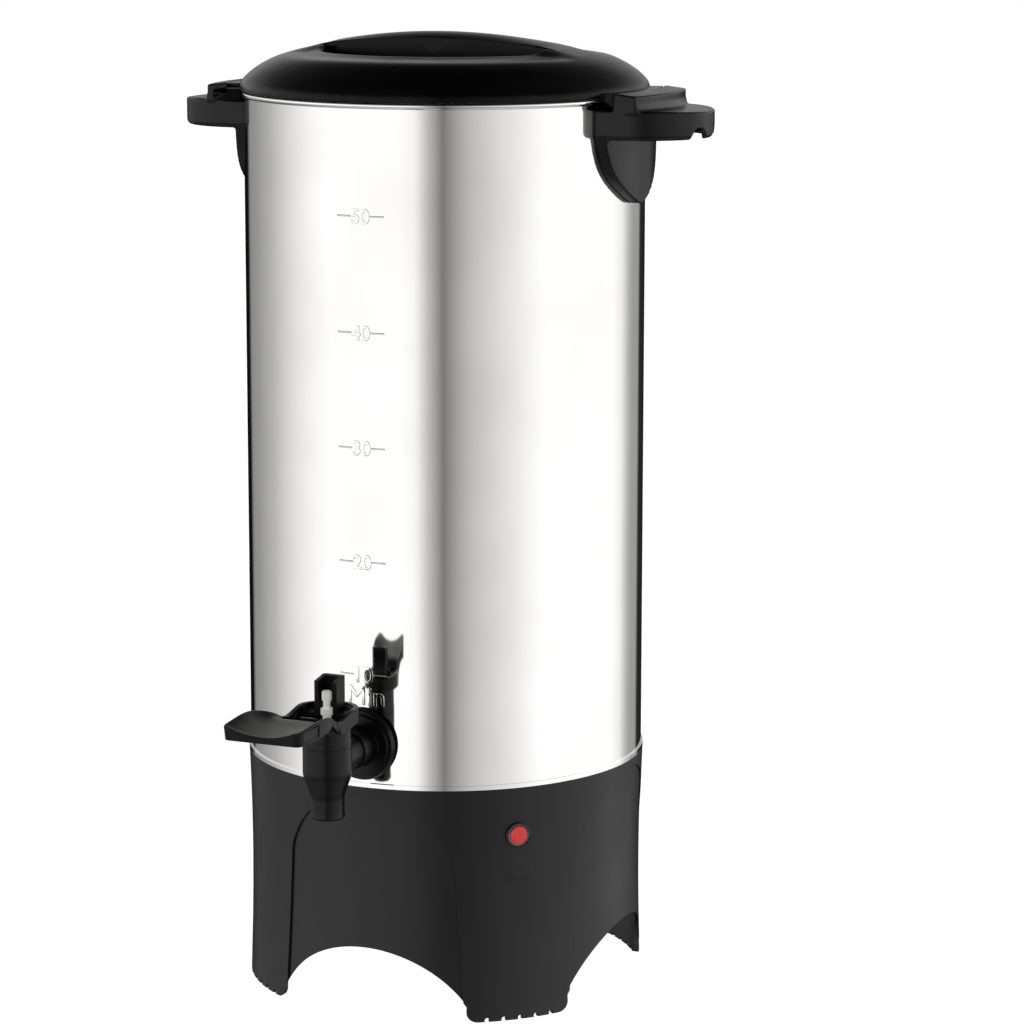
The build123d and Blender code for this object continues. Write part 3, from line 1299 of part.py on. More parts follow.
# ============================ valve =========================================================
with BuildPart() as valve_stem:
    with BuildSketch(valve):
        with BuildLine():
            Polyline(
                (0, CUP_LOW + CUP_T),
                (STEM_FOOT_R, CUP_LOW + CUP_T),
                (STEM_FOOT_R, CUP_LOW + CUP_T + STEM_FOOT_H),
                (STEM_R, CUP_LOW + CUP_T + STEM_FOOT_H),
                (STEM_R, STEM_BASE_TOP - STEM_BASE_H),
                (STEM_BASE_R, STEM_BASE_TOP - STEM_BASE_H),
                (STEM_BASE_R, STEM_BASE_TOP),
                (STEM_NECK_R, STEM_BASE_TOP),
                (STEM_NECK_R, STEM_HEAD_TOP - STEM_HEAD_H),
                (STEM_HEAD_R, STEM_HEAD_TOP - STEM_HEAD_H),
                (STEM_HEAD_R, STEM_HEAD_TOP - STEM_EDGE),
                (STEM_HEAD_R - STEM_EDGE, STEM_HEAD_TOP),
                (0, STEM_HEAD_TOP),
                close=True,
            )
        make_face()
    revolve(axis=Axis((0, -TAP_AXIS, 0), (0, 0, 1)))
write(valve_stem, "valve_stem")

with BuildPart() as seat_cup:
    with BuildSketch(valve):
        with BuildLine():
            foot = CUP_LOW + CUP_T
            Polyline(
                (0, CUP_LOW),
                (CUP_R - 1, CUP_LOW),
                (CUP_R, CUP_LOW + 1),
                (CUP_R - 1.2, CUP_LOW + CUP_H),
                (STEM_R + GRIP_FIT, CUP_LOW + CUP_H),
                (STEM_R + GRIP_FIT, foot + STEM_FOOT_H + GRIP_FIT),
                (STEM_FOOT_R + GRIP_FIT, foot + STEM_FOOT_H + GRIP_FIT),
                (STEM_FOOT_R + GRIP_FIT, foot),
                (0, foot),
                close=True,
            )
        make_face()
    revolve(axis=Axis((0, -TAP_AXIS, 0), (0, 0, 1)))
write(seat_cup, "seat_cup")

# ============================ percolator ====================================================
bell_top = well_floor + FOOT_BELL_H
with BuildPart() as pump_tube:
    with BuildSketch(Plane.XZ):
        with BuildLine():
            Polyline(
                (PUMP_R - PUMP_WALL, bell_top),
                (PUMP_R, bell_top),
                (PUMP_R, BASKET_Z - COLLAR_H),
                (PUMP_R + COLLAR_W, BASKET_Z - COLLAR_H / 2),
                (PUMP_R + COLLAR_W, BASKET_Z),
                (PUMP_R, BASKET_Z),
                (PUMP_R, PUMP_TOP),
                (PUMP_R - PUMP_WALL, PUMP_TOP),
                close=True,
            )
        make_face()
    revolve(axis=Axis.Z)
write(pump_tube, "pump_tube")

with BuildPart() as pump_foot:
    bell_low = well_floor + PLATE_GAP
    with BuildSketch(Plane.XZ):
        with BuildLine():
            Polyline(
                (FOOT_BELL_R, bell_low),
                (FOOT_BELL_R, bell_low + FOOT_BELL_RIM),
                (PUMP_R + 2, bell_top),
                (PUMP_R + GRIP_FIT, bell_top),
                (PUMP_R + GRIP_FIT, bell_top + FOOT_SLEEVE),
                (PUMP_R + FOOT_SHEET, bell_top + FOOT_SLEEVE),
                (PUMP_R + FOOT_SHEET, bell_top + FOOT_SHEET),
                (PUMP_R + 2 + FOOT_SHEET / 2, bell_top + FOOT_SHEET),
                (FOOT_BELL_R + FOOT_SHEET, bell_low + FOOT_BELL_RIM + FOOT_SHEET / 2),
                (FOOT_BELL_R + FOOT_SHEET, bell_low),
                close=True,
            )
        make_face()
    revolve(axis=Axis.Z)
    with BuildSketch(Plane.XZ):
        with Locations((0, bell_low)):
            Circle(FOOT_BELL_VENT_R)
    extrude(amount=2 * FOOT_BELL_R, both=True, mode=Mode.SUBTRACT)
write(pump_foot, "pump_foot")

with BuildPart() as basket:
    # pressed pan with a rolled edge and a sleeve round the pump tube
    basket_top = BASKET_Z + BASKET_H
    with BuildSketch(Plane.XZ):
        with BuildLine():
            Polyline(
                (BASKET_SLEEVE_R - BASKET_SHEET, BASKET_Z),
                (BASKET_R, BASKET_Z),
                (BASKET_R, basket_top),
                (BASKET_R - BASKET_SHEET, basket_top),
                (BASKET_R - BASKET_SHEET, BASKET_Z + BASKET_SHEET),
                (BASKET_SLEEVE_R, BASKET_Z + BASKET_SHEET),
                (BASKET_SLEEVE_R, basket_top),
                (BASKET_SLEEVE_R - BASKET_SHEET, basket_top),
                close=True,
            )
        make_face()
        with Locations((BASKET_R + BASKET_SHEET / 2, basket_top - BASKET_SHEET)):
            Circle(2 * BASKET_SHEET)
    revolve(axis=Axis.Z)
    with BuildSketch(Plane.XY.offset(BASKET_Z)):
        for share, count in ((0.3, SLOT_COUNT), (0.6, 2 * SLOT_COUNT), (0.85, 2 * SLOT_COUNT)):
            with PolarLocations(BASKET_R * share, count):
                SlotOverall(SLOT_LENGTH, SLOT_W)
    extrude(amount=BASKET_SHEET, mode=Mode.SUBTRACT)
write(basket, "basket")

cover_rim_r = BASKET_R + COVER_OVER
with BuildPart() as basket_cover:
    cover_low = basket_top + BASKET_SHEET + PLATE_GAP
    with BuildSketch(Plane.XY.offset(cover_low)):
        Circle(cover_rim_r)
        Circle(BASKET_SLEEVE_R + HOLE_GAP, mode=Mode.SUBTRACT)
        for share, count in ((0.35, SLOT_COUNT), (0.7, 2 * SLOT_COUNT)):
            with PolarLocations(BASKET_R * share, count):
                SlotOverall(SLOT_LENGTH, SLOT_W, mode=Mode.SUBTRACT)
    extrude(amount=BASKET_SHEET)
    with BuildSketch(Plane.XY.offset(cover_low)):
        Circle(cover_rim_r)
        Circle(cover_rim_r - BASKET_SHEET, mode=Mode.SUBTRACT)
    extrude(amount=COVER_EDGE)
write(basket_cover, "basket_cover")

# ============================ wiring ========================================================
tab_z = tab_top - TAB[2] / 2 + WIRE_R / 3
# terminal, then where its wire goes
runs = [
    (-TERMINAL_PITCH, at(THERMOSTAT_BEARINGS[1] - 1, THERMOSTAT_RING - 5, tab_z)),
    (TERMINAL_PITCH, at(THERMOSTAT_BEARINGS[0] + 1, THERMOSTAT_RING - 5, tab_z)),
    (0.0, at(90 + TUBE_HEATER_GAP, TUBE_HEATER_RING, pin_top - PIN_LENGTH - WIRE_R / 3)),
    (TERMINAL_PITCH / 2, at(LAMP_BEARING, WAIST_R - BASE_WALL - 3 * LAMP_TAIL, LAMP_Z)),
]
with BuildPart() as wiring:
    for terminal_x, goal in runs:
        end = Vector(*goal)
        start = Vector(terminal_x, TERMINAL_Y - TERMINAL_BLOCK[1] / 2 - 1, COVER_Z + terminal_h / 2)
        middle = (start + end) / 2 + Vector(terminal_x, -8, -6)
        with BuildLine() as route:
            Spline(start, middle, end, tangents=[(0, -1, 0.2), (0, 0.1, 1)])
        with BuildSketch(Plane(origin=route.line @ 0, z_dir=route.line % 0)):
            Circle(WIRE_R)
        sweep()
write(wiring, "wiring")
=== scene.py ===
# %% [markdown]
# # A coffee urn in a white studio
#
# The urn is a mirror-polished steel can that stands on a black moulded base. A black lid with a
# bar grip locks under two side handles, and a lever tap pokes out near the bottom. The CAD
# model already holds every piece at its real size, so this script loads it as a fixed frame and
# gives each piece its finish. It makes a piece again only where the eye wants a finer shape:
# the can and its cup marks, the tap's lever, the pilot lamp, the handles, the lid and a blank on
# the base.

import json
from math import cos, hypot, pi, radians, sin, sqrt

import bmesh
import bpy
from mathutils import Matrix, Vector


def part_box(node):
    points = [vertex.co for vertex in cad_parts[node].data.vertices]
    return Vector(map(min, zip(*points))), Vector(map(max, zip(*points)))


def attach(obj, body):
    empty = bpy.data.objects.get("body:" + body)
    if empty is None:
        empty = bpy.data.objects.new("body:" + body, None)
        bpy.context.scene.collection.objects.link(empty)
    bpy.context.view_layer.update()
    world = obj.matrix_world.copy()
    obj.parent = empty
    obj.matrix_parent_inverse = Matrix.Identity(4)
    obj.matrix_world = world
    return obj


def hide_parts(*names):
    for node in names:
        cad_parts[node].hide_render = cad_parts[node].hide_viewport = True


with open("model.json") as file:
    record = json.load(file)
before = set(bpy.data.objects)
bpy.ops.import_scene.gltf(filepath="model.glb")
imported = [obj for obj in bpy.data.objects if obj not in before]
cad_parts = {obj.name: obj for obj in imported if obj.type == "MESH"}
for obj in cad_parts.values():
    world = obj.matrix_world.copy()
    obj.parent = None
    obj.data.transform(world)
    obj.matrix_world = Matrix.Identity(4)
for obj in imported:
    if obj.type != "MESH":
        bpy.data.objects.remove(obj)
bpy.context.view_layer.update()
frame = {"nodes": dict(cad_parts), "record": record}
scene = bpy.context.scene
print("pieces:", len(frame["nodes"]))

# %% [markdown]
# ## Sizes
#
# Blender works in metres. The frame's axes are kept: the floor is z = 0, the urn's axis is Z,
# the tap faces -Y and the handles lie on X. Angles round the urn, called bearings, start at the
# tap and turn towards +X. A size that the CAD knows is read from its box, and the others are
# written in millimetres, as a maker would measure them on the piece.

# %% Sizes shared by several pieces
MM = 0.001
STEEL_R = 95.0 * MM


def bearing_point(bearing, radius, z):
    """Point at a bearing in radians, a radius from the urn's axis and a height."""
    return Vector((radius * sin(bearing), -radius * cos(bearing), z))


def lowest(name):
    """Lowest corner of a CAD piece's box."""
    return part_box(name)[0]


def highest(name):
    """Highest corner of a CAD piece's box."""
    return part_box(name)[1]


RIM_TOP = highest("tank_body").z
print(f"steel {2 * STEEL_R / MM:.0f} mm across, from {highest('base_skirt').z / MM:.0f}"
      f" to {RIM_TOP / MM:.1f} mm high")

# %% [markdown]
# ## Camera
#
# The camera stands 1.7 m away, a little above the lid and to the right of the tap, and looks
# slightly down. A short lens close by would make the sides of the can lean together. A long
# lens from further off keeps them almost parallel, as in a catalogue.

# %% Camera
LENS = 126.41
CAMERA_AT = Vector((0.69478, -1.56051, 0.54029))
CAMERA_BEARING = 24.0
AIM_RIGHT_OF_AXIS = 1.07156  # degrees, which sets the urn a little left of the middle
CAMERA_TURN = radians(CAMERA_BEARING - AIM_RIGHT_OF_AXIS)
CAMERA_DOWN = radians(10.4348)
CAMERA_ROLL = 0.0013  # radians

look = Vector((
    -sin(CAMERA_TURN) * cos(CAMERA_DOWN),
    cos(CAMERA_TURN) * cos(CAMERA_DOWN),
    -sin(CAMERA_DOWN),
))
camera_data = bpy.data.cameras.new("camera")
camera_data.lens = LENS
camera_data.sensor_width = 36.0
camera_data.clip_end = 50.0
camera = bpy.data.objects.new("camera", camera_data)
scene.collection.objects.link(camera)
camera.matrix_world = (
    Matrix.Translation(CAMERA_AT)
    @ look.to_track_quat("-Z", "Y").to_matrix().to_4x4()
    @ Matrix.Rotation(CAMERA_ROLL, 4, "Z")
)
scene.camera = camera
scene.view_settings.view_transform = "Standard"
print("camera", [round(v, 3) for v in CAMERA_AT], "lens", LENS, "mm")

# %% [markdown]
# ## Studio light
#
# Mirror-polished steel has no look of its own: it shows the room. A studio lights such a can
# with long soft boxes at each side, a narrow dark gap where the camera stands, and black cards
# behind it that draw a thin dark line down both edges. Lamps with real softboxes would do it,
# but they are hard to place to the degree. So the world plays that room: its brightness is a
# curve of the angle round the urn times a curve of the height. It falls off a little below the
# horizon, where the room's floor is dark, and overhead, so that the black mouldings stay black.
# A dim glow high up behind the urn is what the flat tops of the lid and handles mirror.

# %% Studio: soft boxes, camera gap and black cards
# degrees round from the camera, rising to its right, and brightness there (0 black, 1 white)
ROOM_AROUND = [
    (-180, 0.004), (-156, 0.004), (-150, 0.235), (-137, 0.285), (-118, 0.435), (-104, 0.62),
    (-92, 0.78), (-80, 0.92), (-69, 1.0), (-26, 1.0), (-17.5, 0.92), (-9.5, 0.48), (-1.4, 0.185),
    (6.6, 0.36), (15, 0.51), (23, 0.6), (31, 0.695), (40, 0.79), (48.5, 0.9), (58, 1.0),
    (112, 1.0), (122, 0.83), (127, 0.6), (132, 0.41), (138, 0.31), (147, 0.3), (152, 0.02),
    (180, 0.004),
]
# degrees above the horizon, and share of that brightness
ROOM_HEIGHTS = [
    (-90, 0.55), (-45, 0.5), (-27, 0.3), (-19, 0.55), (-15.5, 1.0), (14, 1.0), (32, 0.14),
    (90, 0.03),
]
# the same two curves for the glow behind the urn
GLOW_AROUND = [(-180, 1.0), (-110, 1.0), (-70, 0.0), (70, 0.0), (110, 1.0), (180, 1.0)]
GLOW_HEIGHTS = [
    (-90, 0.0), (0, 0.0), (4, 0.5), (14, 0.42), (30, 0.1), (50, 0.03), (90, 0.0),
]
ROOM_STRENGTH = 1.24  # over white, because the steel gives back less than it gets
print("studio with", len(ROOM_AROUND), "stops round the urn")

# %% [markdown]
# One small function adds every node, of shaders, world and geometry alike. It takes the node's
# type, the values or links of its inputs and its settings, so a tree reads as a list of steps.

# %% One helper for every node
def node(tree, kind, inputs=None, stops=(), **settings):
    """Add a node, set its properties, and set or link its inputs.

    stops are a colour ramp's, as (place from 0 to 1, grey).
    """
    made = tree.nodes.new(kind)
    for i, (place, grey) in enumerate(stops):
        points = made.color_ramp.elements
        point = points[0] if i == 0 else points[-1] if i == len(stops) - 1 else points.new(place)
        point.position = place
        point.color = (grey, grey, grey, 1.0)
    for key, value in settings.items():
        setattr(made, key, value)
    for key, value in (inputs or {}).items():
        if isinstance(value, bpy.types.NodeSocket):
            tree.links.new(value, made.inputs[key])
        else:
            made.inputs[key].default_value = value
    return made


world = bpy.data.worlds.new("studio")
scene.world = world
world.use_nodes = True
world.node_tree.nodes.clear()
print("world:", world.name)

# %% [markdown]
# The world's tree turns the direction of each ray into two angles, round the urn and above the
# horizon, and looks up each angle in its curves. The camera itself sees plain white.

# %% World
def ramp_stops(curve, span):
    """Stops of a colour ramp from a curve over angles from minus half the span to plus half."""
    return [((angle + span / 2) / span, grey) for angle, grey in curve]


tree = world.node_tree
towards = node(tree, "ShaderNodeTexCoord").outputs["Generated"]
turned = node(tree, "ShaderNodeVectorRotate", {
    "Vector": towards, "Axis": (0, 0, 1), "Angle": -radians(CAMERA_BEARING)})
flat = node(tree, "ShaderNodeSeparateXYZ", {"Vector": turned.outputs["Vector"]})
back = node(tree, "ShaderNodeMath", {0: flat.outputs["Y"], 1: -1.0}, operation="MULTIPLY")
around = node(tree, "ShaderNodeMath", {
    0: flat.outputs["X"], 1: back.outputs["Value"]}, operation="ARCTAN2")
place = node(tree, "ShaderNodeMapRange", {
    "Value": around.outputs["Value"], "From Min": -pi, "From Max": pi})
lift = node(tree, "ShaderNodeMath", {0: flat.outputs["Z"]}, operation="ARCSINE")
height = node(tree, "ShaderNodeMapRange", {
    "Value": lift.outputs["Value"], "From Min": -pi / 2, "From Max": pi / 2})
sides = node(tree, "ShaderNodeValToRGB", {"Fac": place.outputs["Result"]},
             stops=ramp_stops(ROOM_AROUND, 360))
level = node(tree, "ShaderNodeValToRGB", {"Fac": height.outputs["Result"]},
             stops=ramp_stops(ROOM_HEIGHTS, 180))
behind = node(tree, "ShaderNodeValToRGB", {"Fac": place.outputs["Result"]},
              stops=ramp_stops(GLOW_AROUND, 360))
raised = node(tree, "ShaderNodeValToRGB", {"Fac": height.outputs["Result"]},
              stops=ramp_stops(GLOW_HEIGHTS, 180))
boxes = node(tree, "ShaderNodeMath", {
    0: sides.outputs["Color"], 1: level.outputs["Color"]}, operation="MULTIPLY")
room = node(tree, "ShaderNodeMath", {
    0: behind.outputs["Color"], 1: raised.outputs["Color"], 2: boxes.outputs["Value"]},
    operation="MULTIPLY_ADD")
seen = node(tree, "ShaderNodeLightPath")
backdrop = node(tree, "ShaderNodeBackground", {"Color": (1, 1, 1, 1), "Strength": 1.0})
light = node(tree, "ShaderNodeBackground", {
    "Color": room.outputs["Value"], "Strength": ROOM_STRENGTH})
either = node(tree, "ShaderNodeMixShader", {
    0: seen.outputs["Is Camera Ray"], 1: light.outputs["Background"],
    2: backdrop.outputs["Background"]})
node(tree, "ShaderNodeOutputWorld", {"Surface": either.outputs["Shader"]})
print("world nodes:", len(tree.nodes))

# %% [markdown]
# ## Finishes
#
# The urn has few materials: polished stainless steel, black polypropylene mouldings with a fine
# spark-eroded skin, grey silicone, plain aluminium for the percolator, and the small parts
# underneath. Their colours are written as on a screen, in sRGB, and one function turns them to
# the linear values that light is reckoned in.

# %% Colour
def colour(hex_code):
    """Linear colour from an sRGB hex code."""
    channels = [int(hex_code[i:i + 2], 16) / 255 for i in (1, 3, 5)]
    return tuple(c / 12.92 if c <= 0.04045 else ((c + 0.055) / 1.055)**2.4
                 for c in channels) + (1.0,)


def new_material(name):
    """Empty material, its tree and its output node."""
    material = bpy.data.materials.new(name)
    material.use_nodes = True
    material.node_tree.nodes.clear()
    return material, material.node_tree, node(material.node_tree, "ShaderNodeOutputMaterial")


print("mid grey, linear:", round(colour("#808080")[0], 3))

# %% [markdown]
# Painted maps could carry the small unevenness of each surface, but these are plain, so noise at
# a real size does it. Every finish is the same tree: a fine grain for bump and tone, a slow
# change of gloss over about 40 mm because no sheet or moulding is quite even, and, where the
# edges are worn soft, a Bevel node that rounds the shading but not the mesh. The grain of the
# real mouldings is about 0.1 mm. It is drawn at 0.3 to 0.4 mm, because a finer one would not
# show.

# %% One tree for every finish
GLOSS_PATCH = 40 * MM
NOISE_LOW, NOISE_HIGH = 0.3, 0.7  # the noise seldom leaves this range
GLOSSIEST = 0.02
GRAIN_TONE = 0.82  # darkest tone of the grain, as a share of the colour
BUMP_DEPTH = 0.2  # depth of the bump, as a share of the grain


def surface(name, base, roughness, metallic=0.0, grain=0.3 * MM, bump=0.1, sway=0.05, edge=0.0,
            **sockets):
    """Principled finish: grain is the bump's size, sway the slow change of gloss."""
    material, tree, output = new_material(name)
    place = node(tree, "ShaderNodeTexCoord").outputs["Object"]
    slow = node(tree, "ShaderNodeTexNoise", {
        "Vector": place, "Scale": 1 / GLOSS_PATCH, "Detail": 3.0})
    gloss = node(tree, "ShaderNodeMapRange", {
        "Value": slow.outputs["Fac"], "From Min": NOISE_LOW, "From Max": NOISE_HIGH,
        "To Min": max(GLOSSIEST, roughness - sway), "To Max": roughness + sway})
    fine = node(tree, "ShaderNodeTexNoise", {"Vector": place, "Scale": 1 / grain, "Detail": 2.0})
    relief = node(tree, "ShaderNodeBump", {
        "Height": fine.outputs["Fac"], "Strength": bump, "Distance": grain * BUMP_DEPTH})
    if edge:
        soft = node(tree, "ShaderNodeBevel", {"Radius": edge}, samples=6)
        tree.links.new(soft.outputs["Normal"], relief.inputs["Normal"])
    dark = tuple(c * GRAIN_TONE for c in colour(base)[:3]) + (1.0,)
    # a colour Mix has its factor in socket 0 and its two colours in 6 and 7
    tone = node(tree, "ShaderNodeMix", {
        0: fine.outputs["Fac"], 6: colour(base), 7: dark}, data_type="RGBA")
    shader = node(tree, "ShaderNodeBsdfPrincipled", {
        "Base Color": tone.outputs[2], "Roughness": gloss.outputs["Result"],
        "Metallic": metallic, "Normal": relief.outputs["Normal"]})
    for socket, value in sockets.items():
        label = socket.replace("_", " ").title().replace("Ior", "IOR")
        shader.inputs[label].default_value = value
    tree.links.new(shader.outputs["BSDF"], output.inputs["Surface"])
    return material


print(f"gloss changes over {GLOSS_PATCH / MM:.0f} mm")

# %% [markdown]
# Metals come first. A metal's colour is its reflection, so each needs little more than its tone
# and its roughness, and the default IOR stays. The polished can is a mirror that is barely
# soft, with a very slow, shallow bump, because a rolled and polished sheet is never perfectly
# round. The percolator is seldom polished, and the parts underneath are left as they are made.

# %% Metals
def dress(material, *names):
    """Give CAD pieces a finish."""
    for name in names:
        piece = frame["nodes"][name]
        piece.data.materials.clear()
        piece.data.materials.append(material)
    print(f"{material.name}: {len(names)} pieces")


# rolled, then buffed to a mirror: sharp streaks of light with faint waves
polished_steel = surface("polished_stainless_steel", "#F4F3F1", 0.055, 1.0,
                         grain=55 * MM, bump=0.012, sway=0.012)
# turned or pressed and left satin: a wide, soft highlight
satin_steel = surface("satin_stainless_steel", "#CFCECB", 0.26, 1.0, grain=0.6 * MM, bump=0.05)
# spun and washed: pale and milky
spun_aluminium = surface("spun_aluminium", "#D6D6D8", 0.32, 1.0, grain=0.5 * MM, bump=0.12)
# die-cast: grey, rough and finely pitted
cast_aluminium = surface("die_cast_aluminium", "#A9A9AC", 0.5, 1.0, grain=0.8 * MM, bump=0.5)
# plated with zinc: soft grey, in cloudy patches of 2 to 3 mm
zinc_plate = surface("zinc_plated_steel", "#B9BBBE", 0.38, 1.0, grain=2.5 * MM, bump=0.08,
                     sway=0.1, edge=0.2 * MM)
# steel sheath of a heater, browned by its own heat
heat_sheath = surface("heat_darkened_sheath", "#4A4440", 0.45, 1.0, grain=1.2 * MM, bump=0.2,
                      sway=0.1)
# machined and plated: warm yellow with clean edges
terminal_brass = surface("plated_brass", "#C9A55C", 0.3, 1.0, edge=0.15 * MM)

dress(polished_steel, "tank_body", "tank_floor")
dress(satin_steel, "lid_liner", "handle_screws", "lever_pin", "liner_screws")
dress(spun_aluminium, "pump_tube", "pump_foot", "basket", "basket_cover")
dress(cast_aluminium, "heater_plate")
dress(zinc_plate, "bottom_cover", "floor_studs", "cover_nuts")
dress(heat_sheath, "boil_element", "warm_element")
dress(terminal_brass, "terminal_screws")

# %% [markdown]
# The black mouldings are polypropylene. Its skin is satin, a little rougher on the base than on
# the lid and handles, and at a glancing angle it turns pale, which is why the tops of the
# handles look paler from low down. The same plastic has four finishes here. Their skins differ in
# roughness, and their colour and strength of reflection are set piece by piece. The lid, the
# handles, the tap and the lever reflect far less than polypropylene does, which is painted shade.
# The lid reflects least of all, because its bar stands in a shaded recess.

# %% Black mouldings
# moulded with a fine spark-eroded skin: deep black with a soft, broad sheen, its reflection
# weakened as painted shade
black_polypropylene = surface("black_polypropylene", "#08080A", 0.27, grain=0.35 * MM, bump=0.2,
                              edge=0.6 * MM, specular_ior_level=0.26)
# moulded, and rubbed dull by thumbs: close to matte, so the dish is read by its shape
lever_polypropylene = surface("lever_polypropylene", "#0B0B0C", 0.42, grain=0.35 * MM, bump=0.2,
                              edge=0.4 * MM, specular_ior_level=0.22)
# moulded in a smoother mould: nearly pure black, with tight highlights along the curves; its
# reflection is weakest of all, painted shade so that the bar's sides in their recess stay black
lid_polypropylene = surface("lid_polypropylene", "#050506", 0.24, grain=0.35 * MM, bump=0.12,
                            sway=0.04, edge=0.5 * MM, specular_ior_level=0.14)
# moulded with an even satin skin: charcoal, lighter where the studio grazes it
base_polypropylene = surface("base_polypropylene", "#131314", 0.36, grain=0.4 * MM, bump=0.25,
                             edge=0.4 * MM, specular_ior_level=0.46)
# moulded, a little greyer and duller than the polypropylene
black_nylon = surface("black_nylon", "#141415", 0.45, grain=0.4 * MM, bump=0.2, edge=0.3 * MM)

dress(black_polypropylene, "handle_right", "handle_left", "tap_body", "tap_bonnet")
dress(lever_polypropylene, "tap_lever")
dress(lid_polypropylene, "lid_shell")
dress(base_polypropylene, "base_skirt")
dress(black_nylon, "tap_nut", "cord_bushing", "lamp_holder")

# %% [markdown]
# The other parts are few. The valve's stem is white acetal, which lets light in a little way
# and throws it back. Real subsurface scattering would cost render time for so small a piece, so
# a weak glow of its own colour stands in for it. This glow is painted light, and it also brightens
# the stem where it sits in its dark cavity.

# %% Acetal, silicone, ceramic and wire
# moulded: a milky white with a painted glow, as if lit from within
white_acetal_painted_glow = surface("white_acetal_painted_glow", "#FFFDF8", 0.3, grain=0.4 * MM, bump=0.08, edge=0.2 * MM,
                       emission_color=colour("#FFFDF8"), emission_strength=0.2)
# moulded rubber: dull, pale grey
grey_silicone = surface("grey_silicone", "#BDBDB8", 0.5, grain=0.6 * MM, bump=0.1)
# pressed phenolic: dark brown with a low sheen
brown_phenolic = surface("brown_phenolic", "#2E1B14", 0.4, grain=0.5 * MM, bump=0.15,
                         edge=0.2 * MM)
# glazed: a hard, wet-looking gloss
white_ceramic = surface("white_glazed_ceramic", "#EDEAE2", 0.2, edge=0.4 * MM)
# extruded over the wire: even and dull
wire_silicone = surface("white_silicone_wire", "#DDD9CE", 0.5, grain=0.5 * MM, bump=0.1)
# woven from glass yarn 0.8 mm wide: rough and matte
glass_sleeve = surface("woven_glass_sleeve", "#D8D2C0", 0.7, grain=0.8 * MM, bump=0.6)

dress(white_acetal_painted_glow, "valve_stem")
dress(grey_silicone, "lid_gasket", "handle_washers", "tap_washer_outer", "tap_washer_inner",
      "seat_cup")
dress(brown_phenolic, "thermostats")
dress(white_ceramic, "terminal_block")
dress(glass_sleeve, "thermal_fuse")
dress(wire_silicone, "wiring")
print("materials:", len(bpy.data.materials))

# %% [markdown]
# ## Putting a new piece in place
#
# The CAD pieces stay where they are. A finer piece takes the place of one of them: it hides it,
# takes a finish and moves with the same body. The part's record holds the bodies, so one helper
# looks up a piece's body by the CAD piece's name. A piece that only adds to a CAD piece, such as
# the numbers on the can, hides nothing. Every new mesh is made at the origin, with doubled points
# merged and its faces turned outwards.

# %% Make and dress a new piece
SAME_POINT = 1e-6  # points closer than this, a thousandth of a millimetre, are merged
RECORD = frame["record"]
BODY_OF = {
    name: body for body, names in RECORD["behaviour"]["bodies"].items() for name in names
}


def new_piece(name, verts, faces, sharp=35.0):
    """Object at the origin from points and faces, smooth except over edges sharper than this."""
    mesh = bpy.data.meshes.new(name)
    mesh.from_pydata([tuple(v) for v in verts], [], faces)
    mesh.update()
    work = bmesh.new()
    work.from_mesh(mesh)
    bmesh.ops.remove_doubles(work, verts=work.verts, dist=SAME_POINT)
    bmesh.ops.recalc_face_normals(work, faces=work.faces)
    work.to_mesh(mesh)
    work.free()
    mesh.shade_smooth()
    mesh.set_sharp_from_angle(angle=radians(sharp))
    piece = bpy.data.objects.new(name, mesh)
    scene.collection.objects.link(piece)
    return piece


def finish_piece(piece, material, name, stands_for=True):
    """Give a new piece its finish and a CAD piece's body, and let it stand for it."""
    piece.data.materials.clear()
    piece.data.materials.append(material)
    if stands_for:
        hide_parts(name)
    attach(piece, BODY_OF[name])
    triangles = sum(len(face.vertices) - 2 for face in piece.data.polygons)
    print(f"{piece.name}: {triangles} triangles")


# %% [markdown]
# ## Steel can
#
# The can is a 0.6 mm stainless sheet, rolled, seamed and polished to a mirror, with its top edge
# curled outwards into a bead. A mirror shows every facet, and the CAD cylinder is a band of flat
# triangles, so the can is made again, beginning with the arc of its bead.

# %% Bead at the rim
BEAD_R = 1.5 * MM
BEAD_Z = RIM_TOP - BEAD_R


def arc(centre, radius, start, end, steps):
    """Points of a circular arc; angles in degrees."""
    return [
        (centre[0] + radius * cos(radians(start + (end - start) * i / steps)),
         centre[1] + radius * sin(radians(start + (end - start) * i / steps)))
        for i in range(steps + 1)
    ]


# from under the curl, out and over, to its inner side
bead = arc((STEEL_R, BEAD_Z), BEAD_R, -84, 180, 20)
print("bead:", len(bead), "points round its curl")

# %% [markdown]
# The closed outline of the wall is turned in 512 steps and shaded smooth, except over sharp
# edges. A Screw modifier could turn it too. A loop over points also turns the lamp and the blank
# below, and leaves no seam to close.

# %% Can
CAN_WALL = 0.6 * MM
CAN_LOW = lowest("tank_body").z
WALL_TOP = BEAD_Z - BEAD_R
WALL_BANDS = 12


def lathe(name, profile, steps, sharp=35.0):
    """Spin a closed profile of (radius, height) points about the Z axis."""
    verts, faces = [], []
    count = len(profile)
    for i in range(steps):
        turn = 2 * pi * i / steps
        verts += [(radius * cos(turn), radius * sin(turn), z) for radius, z in profile]
    for i in range(steps):
        here, there = i * count, (i + 1) % steps * count
        for j in range(count):
            k = (j + 1) % count
            on_axis = profile[j][0] == 0 and profile[k][0] == 0
            if not on_axis:
                faces.append((here + j, there + j, there + k, here + k))
    return new_piece(name, verts, faces, sharp)


can_profile = (
    [(STEEL_R - CAN_WALL, CAN_LOW)]
    + [(STEEL_R, CAN_LOW + (WALL_TOP - CAN_LOW) * i / WALL_BANDS) for i in range(WALL_BANDS + 1)]
    + bead
    + [(STEEL_R - CAN_WALL, WALL_TOP)]
)
can = lathe("can", can_profile, steps=512, sharp=40.0)
finish_piece(can, polished_steel, "tank_body")

